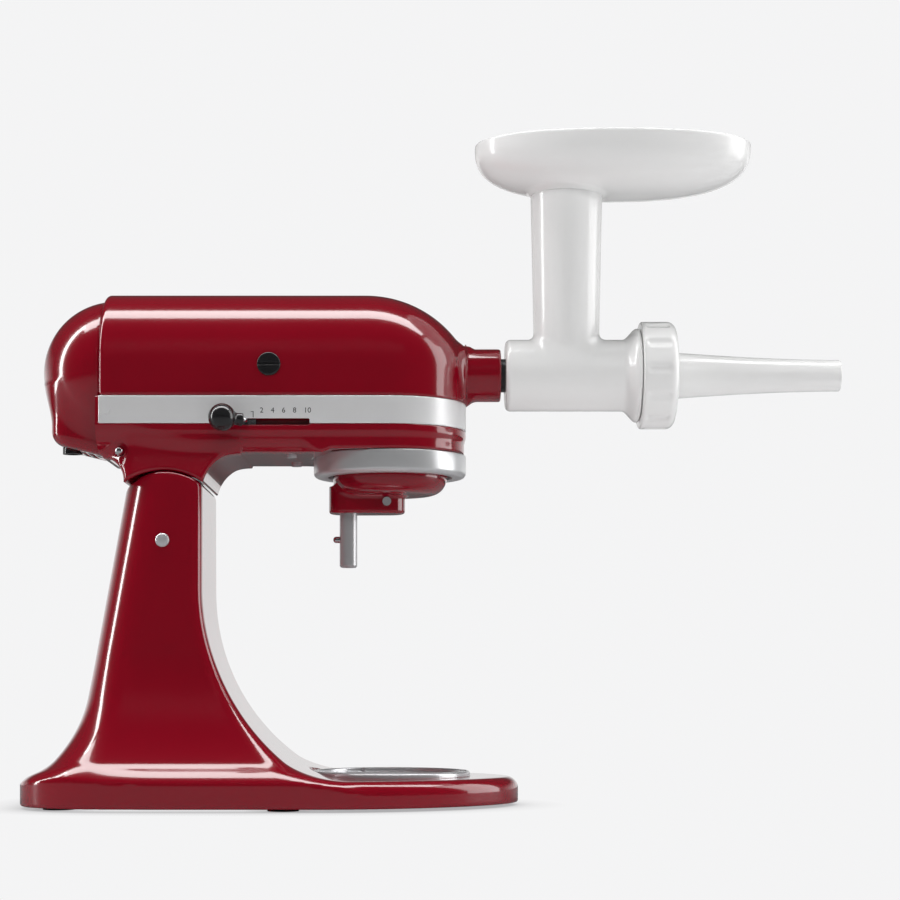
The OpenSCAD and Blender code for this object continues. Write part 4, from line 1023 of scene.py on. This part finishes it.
def tray_field(x, y, z):
    wall, gap = 2.4, 0.05
    outer = dish_shape(x, y, z, 0, SEAT_Z + gap)
    inner = dish_shape(x, y, z, wall, SEAT_Z + gap + wall)
    from_feed = np.hypot(x - FEED_X, y)
    collar = rounded_cut(from_feed - FEED_R, SEAT_Z + gap - z, 0.7)
    collar = np.maximum(collar, z - SEAT_Z - 4)
    dish = rounded_union(outer, collar, 5.0)
    shell = np.maximum(dish, -inner)
    shell = rounded_cut(shell, z - TRAY_HIGH[2], 1.0)
    spigot = np.maximum(from_feed - BORE_R + 0.35, np.maximum(TRAY_LOW[2] - z, z - SEAT_Z - 2))
    shell = np.minimum(shell, spigot)
    return rounded_cut(shell, 18.0 - from_feed, 0.9)


tray = cast("food_dish", tray_field, TRAY_LOW, TRAY_HIGH, 1.2)
place_piece(tray, WHITE_GLOSS, "tray", "white_plastic", "food_tray")

# ---------- Ring nut ----------
# The white ring nut screws over the barrel's mouth and holds the plate and the tube. Broad shallow grooves
# round it give a grip.

NUT_R = (NUT_HIGH[2] - NUT_LOW[2]) / 2
TUBE_LOW, TUBE_HIGH = mm("stuffing_tube")
TUBE_ROOT = 16.1
NUT_GROOVES = 12


def ring_nut_field(x, y, z):
    up = z - AXIS_Z
    from_axis = np.hypot(y, up)
    turn = 2 * math.pi / NUT_GROOVES
    near = (np.arctan2(up, y) + turn / 2) % turn - turn / 2
    along = smooth_step((x - NUT_LOW[0] - 2) / 3) * smooth_step((NUT_HIGH[0] - 3.5 - x) / 4)
    groove = 1.1 * along * smooth_step(1 - np.abs(near) / (turn * 0.24))
    outer = rounded_cut(from_axis - NUT_R + groove, x - NUT_HIGH[0], 6.0)
    outer = rounded_cut(outer, NUT_LOW[0] - x, 1.6)
    bore = np.maximum(from_axis - THREAD_R - 0.3, x - TUBE_LOW[0] - 3)
    return rounded_cut(outer, -np.minimum(bore, from_axis - TUBE_ROOT - 0.3), 0.5)


nut = cast("nut_ring", ring_nut_field, NUT_LOW, NUT_HIGH, 0.9)
place_piece(nut, WHITE_GLOSS, "ring_nut", "white_plastic", "ring_nut")

# ---------- Stuffing tube ----------
# The tube is a hollow tapered moulding in the same white. Its flange is held behind the ring nut, and its
# tip is cut square.

TIP_R, TIP_BORE = 10.9, 9.0
tube_back, tube_front, tube_tip = TUBE_LOW[0], NUT_HIGH[0], TUBE_HIGH[0]
taper = [(TIP_R + (TUBE_ROOT - TIP_R) * (1 - t) ** 1.75, tube_front + (tube_tip - 1.0 - tube_front) * t)
         for t in np.linspace(0, 1, 28)]
tube_outline = ([(THREAD_R - 1.5, tube_back), (THREAD_R - 1, tube_back + 0.5),
                 (THREAD_R - 1, tube_back + 2.2), (THREAD_R - 1.4, tube_back + 2.6),
                 (TUBE_ROOT, tube_back + 2.6)] + taper
                + curve_of(TIP_R - 0.9, tube_tip - 0.9, 0.9, 0, 90, 4)
                + [(TIP_BORE + 0.3, tube_tip), (TIP_BORE, tube_tip - 0.4), (TIP_BORE, tube_tip - 20),
                   (TUBE_ROOT - 2.6, tube_back + 6), (TUBE_ROOT - 1.6, tube_back)])
tube = lathe("stuffer_tube", tube_outline + tube_outline[:1], (0, 0, AXIS_Z), (1, 0, 0), 96)
sharpen(tube, 40)
place_piece(tube, WHITE_GLOSS, "outlet", "white_plastic", "stuffing_tube")

# ---------- Attachment knob ----------
# A black phenolic knob with finger hollows stands on the far side of the hub. It turns a machined steel
# screw that clamps the attachment's shank.


def hub_knob_field(x, y, z):
    dx, dz = x - KNOB_X, z - AXIS_Z
    r = np.hypot(dx, dz)
    turn = math.pi / 4
    near = (np.arctan2(dz, dx) + turn / 2) % turn - turn / 2
    crown = KNOB_HIGH[2] - AXIS_Z
    hollow_r, hollow_out = 5.0, 3.2
    hollow = hollow_r - np.hypot(r * np.cos(near) - crown - hollow_out, r * np.sin(near))
    star = rounded_cut(r - crown, hollow, 1.2)
    body = rounded_cut(star, y - KNOB_HIGH[1], 1.8)
    return rounded_cut(body, KNOB_LOW[1] - y, 0.8)


hub_knob = cast("clamp_knob", hub_knob_field, KNOB_LOW, KNOB_HIGH, 0.7)
place_piece(hub_knob, BLACK_PLASTIC, "hub_knob", "black_plastic", "attachment_knob")
dress(MACHINED, "attachment_screw")

# ---------- Working parts inside ----------
# The motor, gears, bearings and cutting parts keep their own shapes, each in its real material: laminated
# iron, enamelled copper wire, hardened steel, bronze, carbon and moulded plastic.

IRON = finish("laminated_iron", (0.2, 0.2, 0.21), 0.42, metal=1.0, scale=40, stretch=(40, 1, 1), bump=0.3)
COPPER = finish("copper_wire", (0.62, 0.25, 0.12), 0.3, metal=1.0, scale=80, stretch=(1, 12, 1), bump=0.3)
BRONZE = finish("bearing_bronze", (0.55, 0.36, 0.16), 0.32, metal=1.0, scale=300, bump=0.05)
CARBON = finish("carbon", (0.03, 0.03, 0.03), 0.55, scale=600, bump=0.1)
BOARD = finish("circuit_board_green", (0.02, 0.16, 0.06), 0.4, coat=0.3, scale=300, bump=0.05)
dress(IRON, "motor_stator", "bearing_brackets", "gearbox_bracket")
dress(COPPER, "field_coils", "armature_core", "commutator")
dress(BRONZE, "brush_holders", "planetary_bearings", "hub_bearing", "worm_wheel")
dress(CARBON, "carbon_brushes")
dress(BOARD, "speed_control_board")
dress(BLACK_PLASTIC, "cooling_fan")
dress(WHITE_GLOSS, "auger")
dress(PIN_STEEL, "housing_screws")
dress(STEEL, "motor_bearings", "internal_ring_gear", "motor_shaft", "governor", "drive_worm", "spur_pinion",
      "planetary_shaft", "centre_spur_gear", "centre_bevel_gear", "planet_pinion", "hub_drive_shaft",
      "hub_bevel_pinion", "auger_shank", "cutting_knife", "grinding_plate")
